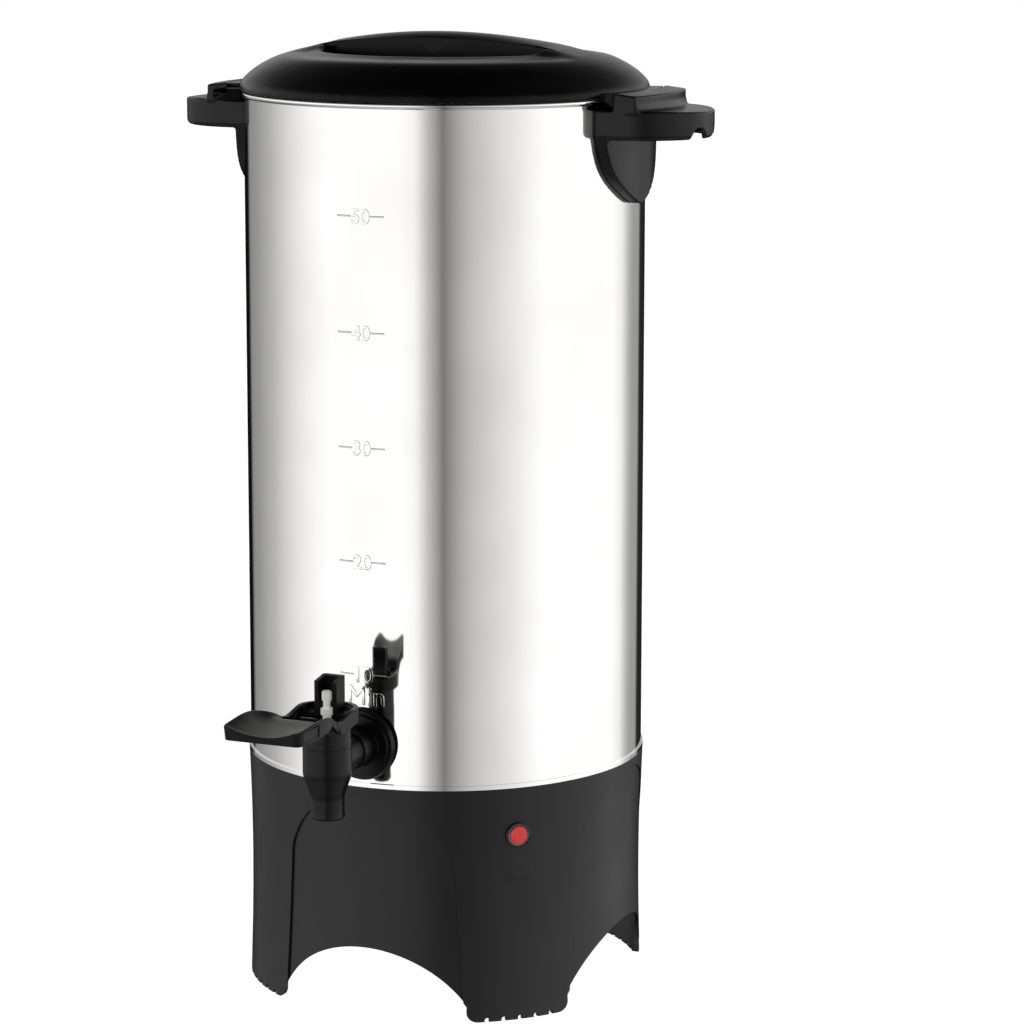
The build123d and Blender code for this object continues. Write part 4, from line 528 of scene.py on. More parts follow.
# %% [markdown]
# ## Cup marks
#
# The cups are marked by ribs pressed out of the sheet: a number between two dashes for each ten
# cups, and the word Min under the lowest. A bump map could draw them, but on a mirror the edge
# of a rib bends the whole reflection, which only real relief does well. The dashes follow a
# rule, five rows of two, so Geometry Nodes make them. Two helpers serve every such tree. One
# starts it with named inputs, and the other runs it and keeps the result as a plain mesh.

# %% Geometry Nodes helpers
MARK_FIRST = 165.3 * MM
MARK_PITCH = 53.05 * MM
MARK_ROWS = 5


def geometry_tree(name, inputs):
    """Empty Geometry Nodes tree with named inputs: {name: (socket type, default)}."""
    tree = bpy.data.node_groups.new(name, "GeometryNodeTree")
    tree.interface.new_socket("Geometry", in_out="OUTPUT", socket_type="NodeSocketGeometry")
    for label, (kind, default) in inputs.items():
        socket = tree.interface.new_socket(label, in_out="INPUT", socket_type=kind)
        if default is not None:
            socket.default_value = default
    given, result = tree.nodes.new("NodeGroupInput"), tree.nodes.new("NodeGroupOutput")
    return tree, given.outputs, result.inputs


def apply_modifiers(piece):
    """Replace a piece's mesh by what its modifiers make of it."""
    graph = bpy.context.evaluated_depsgraph_get()
    graph.update()
    mesh = bpy.data.meshes.new_from_object(piece.evaluated_get(graph))
    piece.modifiers.clear()
    piece.data = mesh
    return piece


def grow(name, tree, values):
    """Run a tree on an empty mesh; each input is set by its socket's identifier."""
    piece = bpy.data.objects.new(name, bpy.data.meshes.new(name))
    scene.collection.objects.link(piece)
    modifier = piece.modifiers.new("grow", "NODES")
    modifier.node_group = tree
    for item in tree.interface.items_tree:
        if item.in_out == "INPUT" and item.name in values:
            modifier[item.identifier] = values[item.name]
    return apply_modifiers(piece)


print(f"{MARK_ROWS} marks from {MARK_FIRST / MM:.1f} mm up, {MARK_PITCH / MM:.2f} mm apart")

# %% [markdown]
# The tree for the dashes is a line of points up the urn's axis. Each point carries a rounded
# dash that has been moved out to the steel, turned once to the left and once to the right. The
# dash is a short line with a circle swept along it, and it is sunk so that only a low rib shows.

# %% Tree for the dashes
DASH_LENGTH = 7.0 * MM
DASH_R = 0.42 * MM
DASH_SINK = 0.2 * MM
DASH_BEARING = 4.9

tree, given, result = geometry_tree("cup dashes", {
    "Rows": ("NodeSocketInt", MARK_ROWS), "First Height": ("NodeSocketFloat", MARK_FIRST),
    "Pitch": ("NodeSocketFloat", MARK_PITCH), "Length": ("NodeSocketFloat", DASH_LENGTH),
    "Thickness": ("NodeSocketFloat", DASH_R), "Radius": ("NodeSocketFloat", STEEL_R),
    "Bearing": ("NodeSocketFloat", radians(DASH_BEARING)),
    "Material": ("NodeSocketMaterial", None)})
start = node(tree, "ShaderNodeCombineXYZ", {"Z": given["First Height"]})
step = node(tree, "ShaderNodeCombineXYZ", {"Z": given["Pitch"]})
points = node(tree, "GeometryNodeMeshLine", {
    "Count": given["Rows"], "Start Location": start.outputs["Vector"],
    "Offset": step.outputs["Vector"]})
out = node(tree, "ShaderNodeMath", {0: given["Radius"], 1: -1.0}, operation="MULTIPLY")
spoke = node(tree, "ShaderNodeCombineXYZ", {"Y": out.outputs["Value"]})
half = node(tree, "ShaderNodeMath", {0: given["Length"], 1: 0.5}, operation="MULTIPLY")
back = node(tree, "ShaderNodeMath", {0: given["Length"], 1: -0.5}, operation="MULTIPLY")
left_end = node(tree, "ShaderNodeCombineXYZ", {"X": back.outputs["Value"]})
right_end = node(tree, "ShaderNodeCombineXYZ", {"X": half.outputs["Value"]})
line = node(tree, "GeometryNodeCurvePrimitiveLine", {
    "Start": left_end.outputs["Vector"], "End": right_end.outputs["Vector"]})
ends = node(tree, "GeometryNodeCurvePrimitiveCircle", {
    "Resolution": 16, "Radius": given["Thickness"]})
dash = node(tree, "GeometryNodeCurveToMesh", {
    "Curve": line.outputs["Curve"], "Profile Curve": ends.outputs["Curve"], "Fill Caps": True})
moved = node(tree, "GeometryNodeTransform", {
    "Geometry": dash.outputs["Mesh"], "Translation": spoke.outputs["Vector"]})
both = node(tree, "GeometryNodeJoinGeometry")
for way in (-1.0, 1.0):
    turn = node(tree, "ShaderNodeMath", {0: given["Bearing"], 1: way}, operation="MULTIPLY")
    axis = node(tree, "ShaderNodeCombineXYZ", {"Z": turn.outputs["Value"]})
    row = node(tree, "GeometryNodeInstanceOnPoints", {
        "Points": points.outputs["Mesh"], "Instance": moved.outputs["Geometry"],
        "Rotation": axis.outputs["Vector"]})
    tree.links.new(row.outputs["Instances"], both.inputs["Geometry"])
real = node(tree, "GeometryNodeRealizeInstances", {"Geometry": both.outputs["Geometry"]})
made = node(tree, "GeometryNodeSetMaterial", {
    "Geometry": real.outputs["Geometry"], "Material": given["Material"]})
tree.links.new(made.outputs["Geometry"], result["Geometry"])
print("dash tree:", len(tree.nodes), "nodes")

# %% [markdown]
# The tree runs once, with the can's own sizes. A dash is round, so it is shaded smooth, and only
# the edges of its flat ends stay sharp.

# %% Dashes on the can
def smooth_shade(piece, sharp):
    """Shade a piece smooth except over edges sharper than this angle in degrees."""
    piece.data.shade_smooth()
    piece.data.set_sharp_from_angle(angle=radians(sharp))


dashes = grow("cup_dashes", tree, {
    "Rows": MARK_ROWS, "First Height": MARK_FIRST, "Pitch": MARK_PITCH, "Length": DASH_LENGTH,
    "Thickness": DASH_R, "Radius": STEEL_R - DASH_SINK, "Bearing": radians(DASH_BEARING),
    "Material": polished_steel})
smooth_shade(dashes, 60.0)
finish_piece(dashes, polished_steel, "tank_body", stands_for=False)

# %% [markdown]
# The numbers are text with rounded edges. Text starts as a flat curve, so it is turned into a
# mesh first, and then each point is laid on the can: across becomes a bearing, up stays up, and
# depth becomes a distance out from the steel. A Shrinkwrap modifier would lay it on too, but it
# would press the rounded edges flat.

# %% Numbers pressed into the can
NUMBER_HEIGHT = 6.6 * MM
TEN_HEIGHT = 1.12 * NUMBER_HEIGHT
MIN_HEIGHT = 9.0 * MM
MIN_Z = 155.6 * MM
NUMBER_BEARING = 0.1
MIN_BEARING = 1.0
FIGURE_SHARE = 0.7  # height of a figure as a share of the type's size
TEXT_DEPTH = 0.16 * MM
TEXT_ROUNDING = 0.2 * MM
TEXT_SINK = 0.06 * MM


def pressed_text(words, height, z, bearing):
    """Mesh of raised text on the can, centred on a bearing in degrees and a height."""
    font = bpy.data.curves.new("text", "FONT")
    font.body = words
    font.align_x = "CENTER"
    font.size = height / FIGURE_SHARE
    font.resolution_u = 6
    font.extrude = TEXT_DEPTH
    font.bevel_depth = TEXT_ROUNDING
    font.bevel_resolution = 3
    flat = bpy.data.objects.new("text", font)
    scene.collection.objects.link(flat)
    bpy.context.view_layer.update()
    graph = bpy.context.evaluated_depsgraph_get()
    mesh = bpy.data.meshes.new_from_object(flat.evaluated_get(graph))
    bpy.data.objects.remove(flat)
    for vert in mesh.vertices:
        across, up, out = vert.co
        vert.co = bearing_point(radians(bearing) + across / STEEL_R,
                                STEEL_R + out - TEXT_SINK, z + up - height / 2)
    mesh.materials.clear()
    return mesh


marks = [
    pressed_text(str(10 * (row + 1)), TEN_HEIGHT if row == 0 else NUMBER_HEIGHT,
                 MARK_FIRST + MARK_PITCH * row, NUMBER_BEARING)
    for row in range(MARK_ROWS)
]
marks.append(pressed_text("Min", MIN_HEIGHT, MIN_Z, MIN_BEARING))
print("marks:", len(marks))

# %% [markdown]
# The marks are all the same steel, so they become one piece instead of six.

# %% One piece of numbers
work = bmesh.new()
for mark in marks:
    work.from_mesh(mark)
    bpy.data.meshes.remove(mark)
bmesh.ops.remove_doubles(work, verts=work.verts, dist=SAME_POINT)
numbers = bpy.data.objects.new("cup_numbers", bpy.data.meshes.new("cup_numbers"))
work.to_mesh(numbers.data)
work.free()
scene.collection.objects.link(numbers)
smooth_shade(numbers, 50.0)
finish_piece(numbers, polished_steel, "tank_body", stands_for=False)

# %% [markdown]
# ## Tap lever
#
# The lever is one moulding: a dished paddle for the thumb, two side walls that dip and then
# rise into a ring, and a square guard round the stem. The CAD has its sizes, but its dish is a
# plain round scoop. The real dish has a flat floor between steep sides and runs down into the
# ring. It could be modelled from a box with Subdivision Surface, but its sides change from
# gentle to steep along it, which is easier to say in a table. Each row gives the section at one
# distance ahead of the urn's axis, in millimetres, and a soft curve joins the rows.

# %% Paddle sections
# distance ahead of the axis, half width, rim, floor, underside, steepness of the sides
PADDLE_ROWS = [
    (199.0, 16.4, 162.4, 159.1, 156.3, 2.0),
    (198.5, 18.0, 162.5, 159.1, 156.3, 2.0),
    (197.5, 18.9, 162.6, 159.1, 156.3, 2.1),
    (196.0, 19.3, 162.8, 159.0, 156.3, 2.3),
    (190.0, 19.3, 163.4, 158.9, 156.3, 2.8),
    (180.0, 19.3, 164.0, 158.8, 156.2, 4.0),
    (172.0, 19.2, 163.6, 158.8, 156.9, 6.0),
    (166.0, 18.2, 162.5, 158.8, 157.5, 8.0),
    (161.0, 16.4, 161.1, 158.4, 157.3, 9.0),
    (157.0, 15.1, 159.5, 157.0, 155.8, 9.0),
    (154.0, 14.6, 158.0, 155.4, 154.2, 9.0),
    (152.0, 14.3, 157.17, 154.3, 152.8, 9.0),
    (151.3, 14.25, 156.95, 153.9, 152.3, 9.0),
]
STRAIGHT_ROWS = 3  # the rounded front corners are joined by straight lines


def paddle_row(ahead):
    """Half width, rim, floor, underside and steepness at one distance ahead of the axis."""
    for i, (a, b) in enumerate(zip(PADDLE_ROWS, PADDLE_ROWS[1:])):
        if not a[0] >= ahead >= b[0]:
            continue
        p, q = PADDLE_ROWS[max(i - 1, 0)], PADDLE_ROWS[min(i + 2, len(PADDLE_ROWS) - 1)]
        step = a[0] - b[0]
        t = (a[0] - ahead) / step
        row = []
        for k in range(1, 6):
            before = after = b[k] - a[k]
            if i >= STRAIGHT_ROWS:
                before = (b[k] - p[k]) / (p[0] - b[0]) * step
                after = (q[k] - a[k]) / (a[0] - q[0]) * step
            row.append((2 * t**3 - 3 * t**2 + 1) * a[k] + (t**3 - 2 * t**2 + t) * before
                       + (3 * t**2 - 2 * t**3) * b[k] + (t**3 - t**2) * after)
        return row


print("half width 175 mm ahead of the axis:", round(paddle_row(175.0)[0], 2), "mm")

# %% [markdown]
# Across the paddle, the dish rises from its floor to the rim as a power of the distance from the
# middle. A power of 2 is a gentle bowl, and a power of 9 is a flat floor between steep walls. The
# outer edge is rounded, and the underside is hollow, as mouldings are, so that no part is thick.

# %% Paddle heights
PADDLE_FRONT = PADDLE_ROWS[0][0]
PADDLE_RIM = 1.3  # width of the flat rim
PADDLE_ROUND = 0.5  # radius of the rim's outer edge
HOLLOW_BACK, HOLLOW_FRONT = 168.0, 196.5  # the underside is hollow between these
HOLLOW_WALL = 2.2
FLOOR_THICK = 1.4


def paddle_heights(x, ahead):
    """Top and underside of the paddle at one spot, in millimetres."""
    half, rim, floor, under, steep = paddle_row(ahead)
    share = min(1.0, abs(x) / (half - PADDLE_RIM))
    top = floor + (rim - floor) * share**steep
    edge = max(0.0, min(half - abs(x), PADDLE_FRONT - ahead))
    if edge < PADDLE_ROUND:
        top -= PADDLE_ROUND * (1 - sqrt(max(0.0, 1 - (1 - edge / PADDLE_ROUND)**2)))
    if HOLLOW_BACK < ahead < HOLLOW_FRONT and abs(x) < half - HOLLOW_WALL:
        under = max(under, floor - FLOOR_THICK)
    return top, under


print("top and underside there:", [round(z, 2) for z in paddle_heights(0.0, 175.0)], "mm")

# %% [markdown]
# The heights become a mesh as a slab: a grid of points above, a grid below, and walls round the
# four sides. The grid is closer where the shape bends most, at the rims and the front corners.
# The front face leans in a little at its foot, so that the moulding leaves its mould.

# %% Paddle mesh
FRONT_LEAN = 0.6
LEAN_FROM = 190.0
LEAN_BACK = 0.6  # share of the lean by which the foot also moves back
ACROSS = [
    0.0, 0.15, 0.3, 0.42, 0.53, 0.62, 0.7, 0.76, 0.81, 0.855, 0.885, 0.91, 0.93, 0.955, 0.972,
    0.984, 0.993, 1.0,
]
ALONG = sorted(
    {199.0, 198.9, 198.75, 198.5, 198.2, 197.9, 197.5, 196.9, 196.4, 196.0}
    | {151.3 + 0.75 * i for i in range(60)}
)


def slab(name, upper, lower, sharp=35.0):
    """Closed solid between two grids of points that have the same rows and columns."""
    wide = len(upper[0])
    verts = [point for above, below in zip(upper, lower) for point in above + below]
    faces = []
    for i in range(len(upper) - 1):
        a, b = 2 * i * wide, 2 * (i + 1) * wide
        for j in range(wide - 1):
            faces.append((a + j, a + j + 1, b + j + 1, b + j))
            faces.append((a + wide + j, b + wide + j, b + wide + j + 1, a + wide + j + 1))
        for j in (0, wide - 1):
            faces.append((a + j, b + j, b + wide + j, a + wide + j))
    for a in (0, 2 * (len(upper) - 1) * wide):
        for j in range(wide - 1):
            faces.append((a + j, a + j + 1, a + j + 1 + wide, a + j + wide))
    return new_piece(name, verts, faces, sharp)


tops, undersides = [], []
for ahead in ALONG:
    half = paddle_row(ahead)[0]
    lean = FRONT_LEAN * max(0.0, (ahead - LEAN_FROM) / (PADDLE_FRONT - LEAN_FROM))
    tops.append([])
    undersides.append([])
    for share in [-share for share in ACROSS[:0:-1]] + ACROSS:
        top, under = paddle_heights(share * half, ahead)
        tops[-1].append((share * half * MM, -ahead * MM, top * MM))
        undersides[-1].append((share * (half - lean) * MM, -(ahead - lean * LEAN_BACK) * MM,
                               under * MM))
paddle = slab("lever", tops, undersides, sharp=50.0)
print("paddle:", len(paddle.data.vertices), "points")

# %% [markdown]
# The ring and guard are right in the CAD, so they are a copy of it. A CAD mesh is loose
# triangles, and a Boolean needs closed solids, so the copy is sewn together first, and triangles
# that lie in one plane become one face.

# %% Copy of the lever
IN_ONE_PLANE = radians(0.5)


def merged_copy(name, new_name):
    """Copy of a CAD piece with its loose triangles sewn together."""
    mesh = frame["nodes"][name].data.copy()
    work = bmesh.new()
    work.from_mesh(mesh)
    bmesh.ops.remove_doubles(work, verts=work.verts, dist=SAME_POINT)
    bmesh.ops.dissolve_limit(work, angle_limit=IN_ONE_PLANE, verts=work.verts, edges=work.edges)
    work.to_mesh(mesh)
    work.free()
    mesh.materials.clear()
    copy = bpy.data.objects.new(new_name, mesh)
    scene.collection.objects.link(copy)
    return copy


ring = merged_copy("tap_lever", "lever_ring")
print("lever copy:", len(ring.data.vertices), "points")

# %% [markdown]
# The copy is cut off so that it overlaps the paddle by 0.3 mm, and fused to it, so that the lever
# is one closed moulding again. Last, a shallow panel is cut into each side of the paddle. Joined
# objects would look alike from afar, but the steps between them would show in the highlights.

# %% Ring, guard and side panels
RING_FRONT = 151.6  # distance ahead of the axis where the copy is cut off
PANEL_HALF_W = 18.95
PANEL_BACK, PANEL_FRONT = 180.4, 195.6
PANEL_LOW, PANEL_HIGH = 157.4, 162.2
WELL_PAST = 25  # beyond the paddle's sides


def combine(piece, other, operation):
    """Cut another closed piece away (DIFFERENCE) or fuse it on (UNION), and delete it."""
    modifier = piece.modifiers.new("combine", "BOOLEAN")
    modifier.operation = operation
    modifier.object = other
    modifier.solver = "EXACT"
    apply_modifiers(piece)
    bpy.data.objects.remove(other)


def block(low, high):
    """Closed box between two corners in millimetres, used only as a cutting tool."""
    corners = [(x * MM, y * MM, z * MM) for x in (low[0], high[0]) for y in (low[1], high[1])
               for z in (low[2], high[2])]
    sides = [(0, 1, 3, 2), (4, 6, 7, 5), (0, 4, 5, 1), (2, 3, 7, 6), (0, 2, 6, 4), (1, 5, 7, 3)]
    return new_piece("tool", corners, sides)


# the block takes away all that is ahead of the ring
combine(ring, block((-40, -240, 100), (40, -RING_FRONT, 200)), "DIFFERENCE")
combine(paddle, ring, "UNION")
for side in (-1, 1):
    inner, outer = sorted((side * PANEL_HALF_W, side * WELL_PAST))
    panel = block((inner, -PANEL_FRONT, PANEL_LOW), (outer, -PANEL_BACK, PANEL_HIGH))
    combine(paddle, panel, "DIFFERENCE")
smooth_shade(paddle, 40.0)
finish_piece(paddle, lever_polypropylene, "tap_lever")

# %% [markdown]
# ## Pilot lamp
#
# The lamp is a small clear red moulding: a dark rim against the base, a sloping glassy ring, and
# a raised core whose face is pricked with rows of tiny pyramids so that it glows evenly. The CAD
# has one plain lens. Three turned pieces take its place, one for each finish, because a piece
# with one finish is easy to swap. Each is turned about the Z axis and then stood on the base.

# %% Lamp: rim, ring and core
LAMP_BEARING = radians(44.5)
LAMP_SEAT_R = 95.2 * MM
LAMP_Z = (lowest("lamp_lens").z + highest("lamp_lens").z) / 2
LAMP_R = 6.2 * MM
RIM_LIP = 0.4 * MM
RIM_BORE_R = 4.9 * MM
RING_R = 5.5 * MM
CORE_R = 4.2 * MM
CORE_UP = 1.15 * MM
CORE_EDGE = 0.45 * MM
LAMP_STEPS = 96
lamp_outwards = Vector((sin(LAMP_BEARING), -cos(LAMP_BEARING), 0))
lamp_stand = (
    Matrix.Translation(bearing_point(LAMP_BEARING, LAMP_SEAT_R, LAMP_Z))
    @ lamp_outwards.to_track_quat("Z", "Y").to_matrix().to_4x4()
)


def smooth_profile(points, steps):
    """Points of a soft curve (Catmull-Rom) through a few profile points."""
    ends = [points[0]] + list(points) + [points[-1]]
    curve = []
    for a, b, c, d in zip(ends, ends[1:], ends[2:], ends[3:]):
        for i in range(steps):
            t = i / steps
            curve.append(tuple(
                0.5 * (2 * q + (r - p) * t + (2 * p - 5 * q + 4 * r - s) * t**2
                       + (3 * q - p - 3 * r + s) * t**3)
                for p, q, r, s in zip(a, b, c, d)
            ))
    return curve + [tuple(points[-1])]


# each profile is a list of radius and height above the lamp's seat
rim = lathe("lamp_rim", [(RIM_BORE_R, 0.0), (LAMP_R, 0.0), (LAMP_R, 0.5 * MM)]
            + arc((LAMP_R - RIM_LIP, 0.55 * MM), RIM_LIP, 0, 180, 8)
            + [(RIM_BORE_R, 0.45 * MM)], LAMP_STEPS)
slope = lathe("lamp_ring", [(0.0, -0.4 * MM), (RING_R + 0.1 * MM, -0.4 * MM), (RING_R, 0.5 * MM)]
              + smooth_profile([(RING_R, 0.5 * MM), (5.1 * MM, 0.78 * MM), (CORE_R, 0.62 * MM)], 6)
              + [(0.0, 0.6 * MM)], LAMP_STEPS)
core = lathe("lamp_core", [(0.0, 0.3 * MM), (CORE_R - 0.15 * MM, 0.3 * MM)]
             + arc((CORE_R - CORE_EDGE, CORE_UP - CORE_EDGE), CORE_EDGE, 0, 90, 6)
             + [(0.0, CORE_UP)], LAMP_STEPS)
print(f"lamp: {2 * LAMP_R / MM:.1f} mm across, {LAMP_Z / MM:.1f} mm up")

# %% [markdown]
# The pyramids repeat, so Geometry Nodes set them out. A grid of points covers the core, those
# too near its edge are left out, and each of the others gets a cone with four sides, turned by
# 45 degrees so that its edges line up with its neighbours'. A bump map would be too soft here,
# because each pyramid throws a small highlight of its own.

# %% Pyramids on the core
PYRAMID_PITCH = 0.85 * MM
PYRAMID_HEIGHT = 0.22 * MM
PYRAMID_FOOT = 0.66  # radius of a pyramid's foot as a share of the pitch

tree, given, result = geometry_tree("lamp pyramids", {
    "Core Radius": ("NodeSocketFloat", CORE_R), "Pitch": ("NodeSocketFloat", PYRAMID_PITCH),
    "Height": ("NodeSocketFloat", PYRAMID_HEIGHT), "Up": ("NodeSocketFloat", CORE_UP),
    "Material": ("NodeSocketMaterial", None)})
width = node(tree, "ShaderNodeMath", {0: given["Core Radius"], 1: 2.0}, operation="MULTIPLY")
spans = node(tree, "ShaderNodeMath", {
    0: width.outputs["Value"], 1: given["Pitch"]}, operation="DIVIDE")
count = node(tree, "ShaderNodeMath", {0: spans.outputs["Value"], 1: 1.0}, operation="ADD")
grid = node(tree, "GeometryNodeMeshGrid", {
    "Size X": width.outputs["Value"], "Size Y": width.outputs["Value"],
    "Vertices X": count.outputs["Value"], "Vertices Y": count.outputs["Value"]})
spot = node(tree, "GeometryNodeInputPosition")
reach = node(tree, "ShaderNodeVectorMath", {0: spot.outputs["Position"]}, operation="LENGTH")
room = node(tree, "ShaderNodeMath", {
    0: given["Core Radius"], 1: given["Pitch"]}, operation="SUBTRACT")
inside = node(tree, "FunctionNodeCompare", {
    0: reach.outputs["Value"], 1: room.outputs["Value"]}, operation="LESS_THAN")
foot = node(tree, "ShaderNodeMath", {0: given["Pitch"], 1: PYRAMID_FOOT}, operation="MULTIPLY")
pyramid = node(tree, "GeometryNodeMeshCone", {
    "Vertices": 4, "Radius Bottom": foot.outputs["Value"], "Depth": given["Height"]})
rise = node(tree, "ShaderNodeCombineXYZ", {"Z": given["Up"]})
placed = node(tree, "GeometryNodeInstanceOnPoints", {
    "Points": grid.outputs["Mesh"], "Selection": inside.outputs["Result"],
    "Instance": pyramid.outputs["Mesh"], "Rotation": (0.0, 0.0, radians(45))})
raised = node(tree, "GeometryNodeTransform", {
    "Geometry": placed.outputs["Instances"], "Translation": rise.outputs["Vector"]})
real = node(tree, "GeometryNodeRealizeInstances", {"Geometry": raised.outputs["Geometry"]})
made = node(tree, "GeometryNodeSetMaterial", {
    "Geometry": real.outputs["Geometry"], "Material": given["Material"]})
tree.links.new(made.outputs["Geometry"], result["Geometry"])
print("pyramid tree:", len(tree.nodes), "nodes")

# %% [markdown]
# All of the lamp is polycarbonate from polished moulds, so it is far glossier than the rest. A
# real transparent lens needs a lit cavity behind it and many light bounces. Here colour under a
# clear coat stands in for it. A dull wine red on the sloping ring is painted shade, and a bright
# red with a weak glow on the core is painted light, for the light that the core gathers.

# %% Lamp finishes
# dark moulding: a black, wet line round the lamp
lamp_rim_black = surface("lamp_rim_polycarbonate", "#060304", 0.12, bump=0.02)
# clear red seen at a slant, as painted shade: dull wine red under sharp reflections
lamp_ring_painted_shade = surface("lamp_ring_clear_polycarbonate", "#5E2A30", 0.06, bump=0.01,
                        coat_weight=1.0)
# clear red seen straight on, as painted light: bright, with a painted glow as if lit from within
lamp_core_painted_glow = surface("lamp_core_red_polycarbonate", "#E8323A", 0.18, bump=0.02,
                        coat_weight=0.6, emission_color=colour("#FF2A30"),
                        emission_strength=0.22)

pyramids = grow("lamp_pyramids", tree, {
    "Core Radius": CORE_R, "Pitch": PYRAMID_PITCH, "Height": PYRAMID_HEIGHT, "Up": CORE_UP,
    "Material": lamp_core_painted_glow})
for piece, material in ((rim, lamp_rim_black), (slope, lamp_ring_painted_shade), (core, lamp_core_painted_glow),
                        (pyramids, lamp_core_painted_glow)):
    piece.data.transform(lamp_stand)
    finish_piece(piece, material, "lamp_lens", stands_for=piece is rim)

# %% [markdown]
# ## Handles
#
# The handles are thick mouldings with soft edges, and the CAD keeps those edges sharp. A Bevel
# modifier would round them, but it breaks where many short edges meet. So a copy is filled with
# small cubes (a voxel remesh) and its surface relaxed. This wears every edge down to a radius of
# about a millimetre, as the mould does, and leaves the broad faces where they are.

# %% Soft-edged handles
HANDLE_VOXEL = 0.55 * MM
RELAX_ROUNDS = 5
FLAT_ENOUGH = radians(0.6)  # faces that meet at less than this are merged again


def softened(name, new_name):
    """Copy of a CAD piece with every edge rounded by about twice the voxel size."""
    piece = merged_copy(name, new_name)
    fill = piece.modifiers.new("fill", "REMESH")
    fill.mode = "VOXEL"
    fill.voxel_size = HANDLE_VOXEL
    relax = piece.modifiers.new("relax", "SMOOTH")
    relax.factor = 0.5
    relax.iterations = RELAX_ROUNDS
    thin = piece.modifiers.new("thin", "DECIMATE")
    thin.decimate_type = "DISSOLVE"
    thin.angle_limit = FLAT_ENOUGH
    apply_modifiers(piece)
    piece.data.shade_smooth()
    return piece


for side in ("right", "left"):
    handle = softened(f"handle_{side}", f"handle_{side}_moulded")
    finish_piece(handle, black_polypropylene, f"handle_{side}")

# %% [markdown]
# ## Lid
#
# The lid is one black moulding: a dome, a round recess for the fingers, and a bar across it to
# hold and turn it by. The CAD bar has a flat top and stands on a ring of even height, the crown.
# The real bar is arched along and across and runs out into the crown at its ends, and between
# the ends the crown dips by 2.3 mm. Sculpting would do it, but not to a tenth of a millimetre.
# So the lid is a copy of the CAD, and rays from above measure its crown first.

# %% Measure the crown
# all sizes in this section are in millimetres
BAR_TOP = highest("lid_shell").z / MM
BAR_RISE = 6.7  # the bar's top above the crown
CROWN_TOP = BAR_TOP - BAR_RISE
CLEAR_BEARING = -13.7  # degrees, a bearing on which no bar or recess is met
CLEAR_R = 59.5  # nearer the middle, the crown is taken as level with this
RAY_UP = 9.0

lid = merged_copy("lid_shell", "lid_moulded")
bpy.context.view_layer.update()


def crown_height(radius):
    """Height of the crown at a radius, found by a ray from above, clear of the bar."""
    start = bearing_point(
        radians(CLEAR_BEARING), max(radius, CLEAR_R) * MM, (BAR_TOP + RAY_UP) * MM)
    return lid.ray_cast(start, Vector((0, 0, -1)))[1].z / MM


# one height for each half millimetre of radius
crown_heights = [crown_height(step / 2) for step in range(140)]
print(f"crown {crown_heights[0]:.2f} mm high, {crown_heights[-1]:.2f} mm near its edge")

# %% [markdown]
# The crown is lowered by moving points of the mesh. The CAD's faces are long and few there, so
# they are cut finer first. How far a point sinks is a product of soft steps: none under the bar,
# none inside or outside the crown, none deep below it, and 2.3 mm in the middle of it all.

# %% Lower the crown beside the bar
CROWN_DROP = 2.3
LONGEST_EDGE = 2.5
FINE_FROM_R, FINE_TO_R = 54.0, 84.0
FINE_DEPTH = 12.0
FINE_ROUNDS = 2
DROP_SETS_IN, DROP_FADES = (46.0, 56.0), (63.0, 80.0)  # radii
BESIDE_BAR = (13.0, 25.0)
NEAR_TOP = (CROWN_TOP - 14.0, CROWN_TOP - 5.0)


def ease(value, low, high):
    """0 below low, 1 above high and a soft step between them."""
    t = min(1.0, max(0.0, (value - low) / (high - low)))
    return t * t * (3 - 2 * t)


def on_crown(vert):
    """Whether a point of the lid's mesh lies where the crown needs finer faces."""
    radius = hypot(vert.co.x, vert.co.y)
    return (FINE_FROM_R * MM < radius < FINE_TO_R * MM
            and vert.co.z > (CROWN_TOP - FINE_DEPTH) * MM)


work = bmesh.new()
work.from_mesh(lid.data)
for _ in range(FINE_ROUNDS):
    long_edges = [edge for edge in work.edges
                  if edge.calc_length() > LONGEST_EDGE * MM and all(map(on_crown, edge.verts))]
    bmesh.ops.subdivide_edges(work, edges=long_edges, cuts=1, use_grid_fill=False)
bmesh.ops.triangulate(work, faces=work.faces)
for vert in work.verts:
    x, y, z = vert.co / MM
    radius = hypot(x, y)
    on_ring = ease(radius, *DROP_SETS_IN) * (1 - ease(radius, *DROP_FADES))
    vert.co.z -= CROWN_DROP * MM * on_ring * ease(abs(y), *BESIDE_BAR) * ease(z, *NEAR_TOP)
print("lid:", len(work.verts), "points after the crown is cut finer")
work.to_mesh(lid.data)
work.free()

# %% [markdown]
# The bar's arched top is cut with a slab whose underside has the shape that is wanted: an arc
# along the bar, lower towards its sides, that eases into the crown at both ends.

# %% Cut the bar's top
BAR_SIDE = 12.0
SIDE_DROP = 0.35  # share of the rise that is lost at the bar's sides
ARC_HALF_SPAN = 64.5
ARC_R = (ARC_HALF_SPAN**2 + BAR_RISE**2) / (2 * BAR_RISE)
RUNOUT_FROM, RUNOUT_TO = 52.0, 63.0
RUNOUT_UP = 0.05  # keeps the cut just clear of the crown
TOOL_REACH, TOOL_HALF_W, TOOL_UP = 66.0, 14.0, 6.0
COLUMNS, ROWS = 60, 20


def bar_top(x, y):
    """Height of the arched bar; its ends run out into the crown."""
    rise = BAR_RISE + sqrt(max(0.0, ARC_R**2 - x**2)) - ARC_R
    arched = CROWN_TOP + rise * (1 - SIDE_DROP * (y / BAR_SIDE)**2)
    out = ease(abs(x), RUNOUT_FROM, RUNOUT_TO)
    return arched * (1 - out) + (crown_heights[round(hypot(x, y) * 2)] + RUNOUT_UP) * out


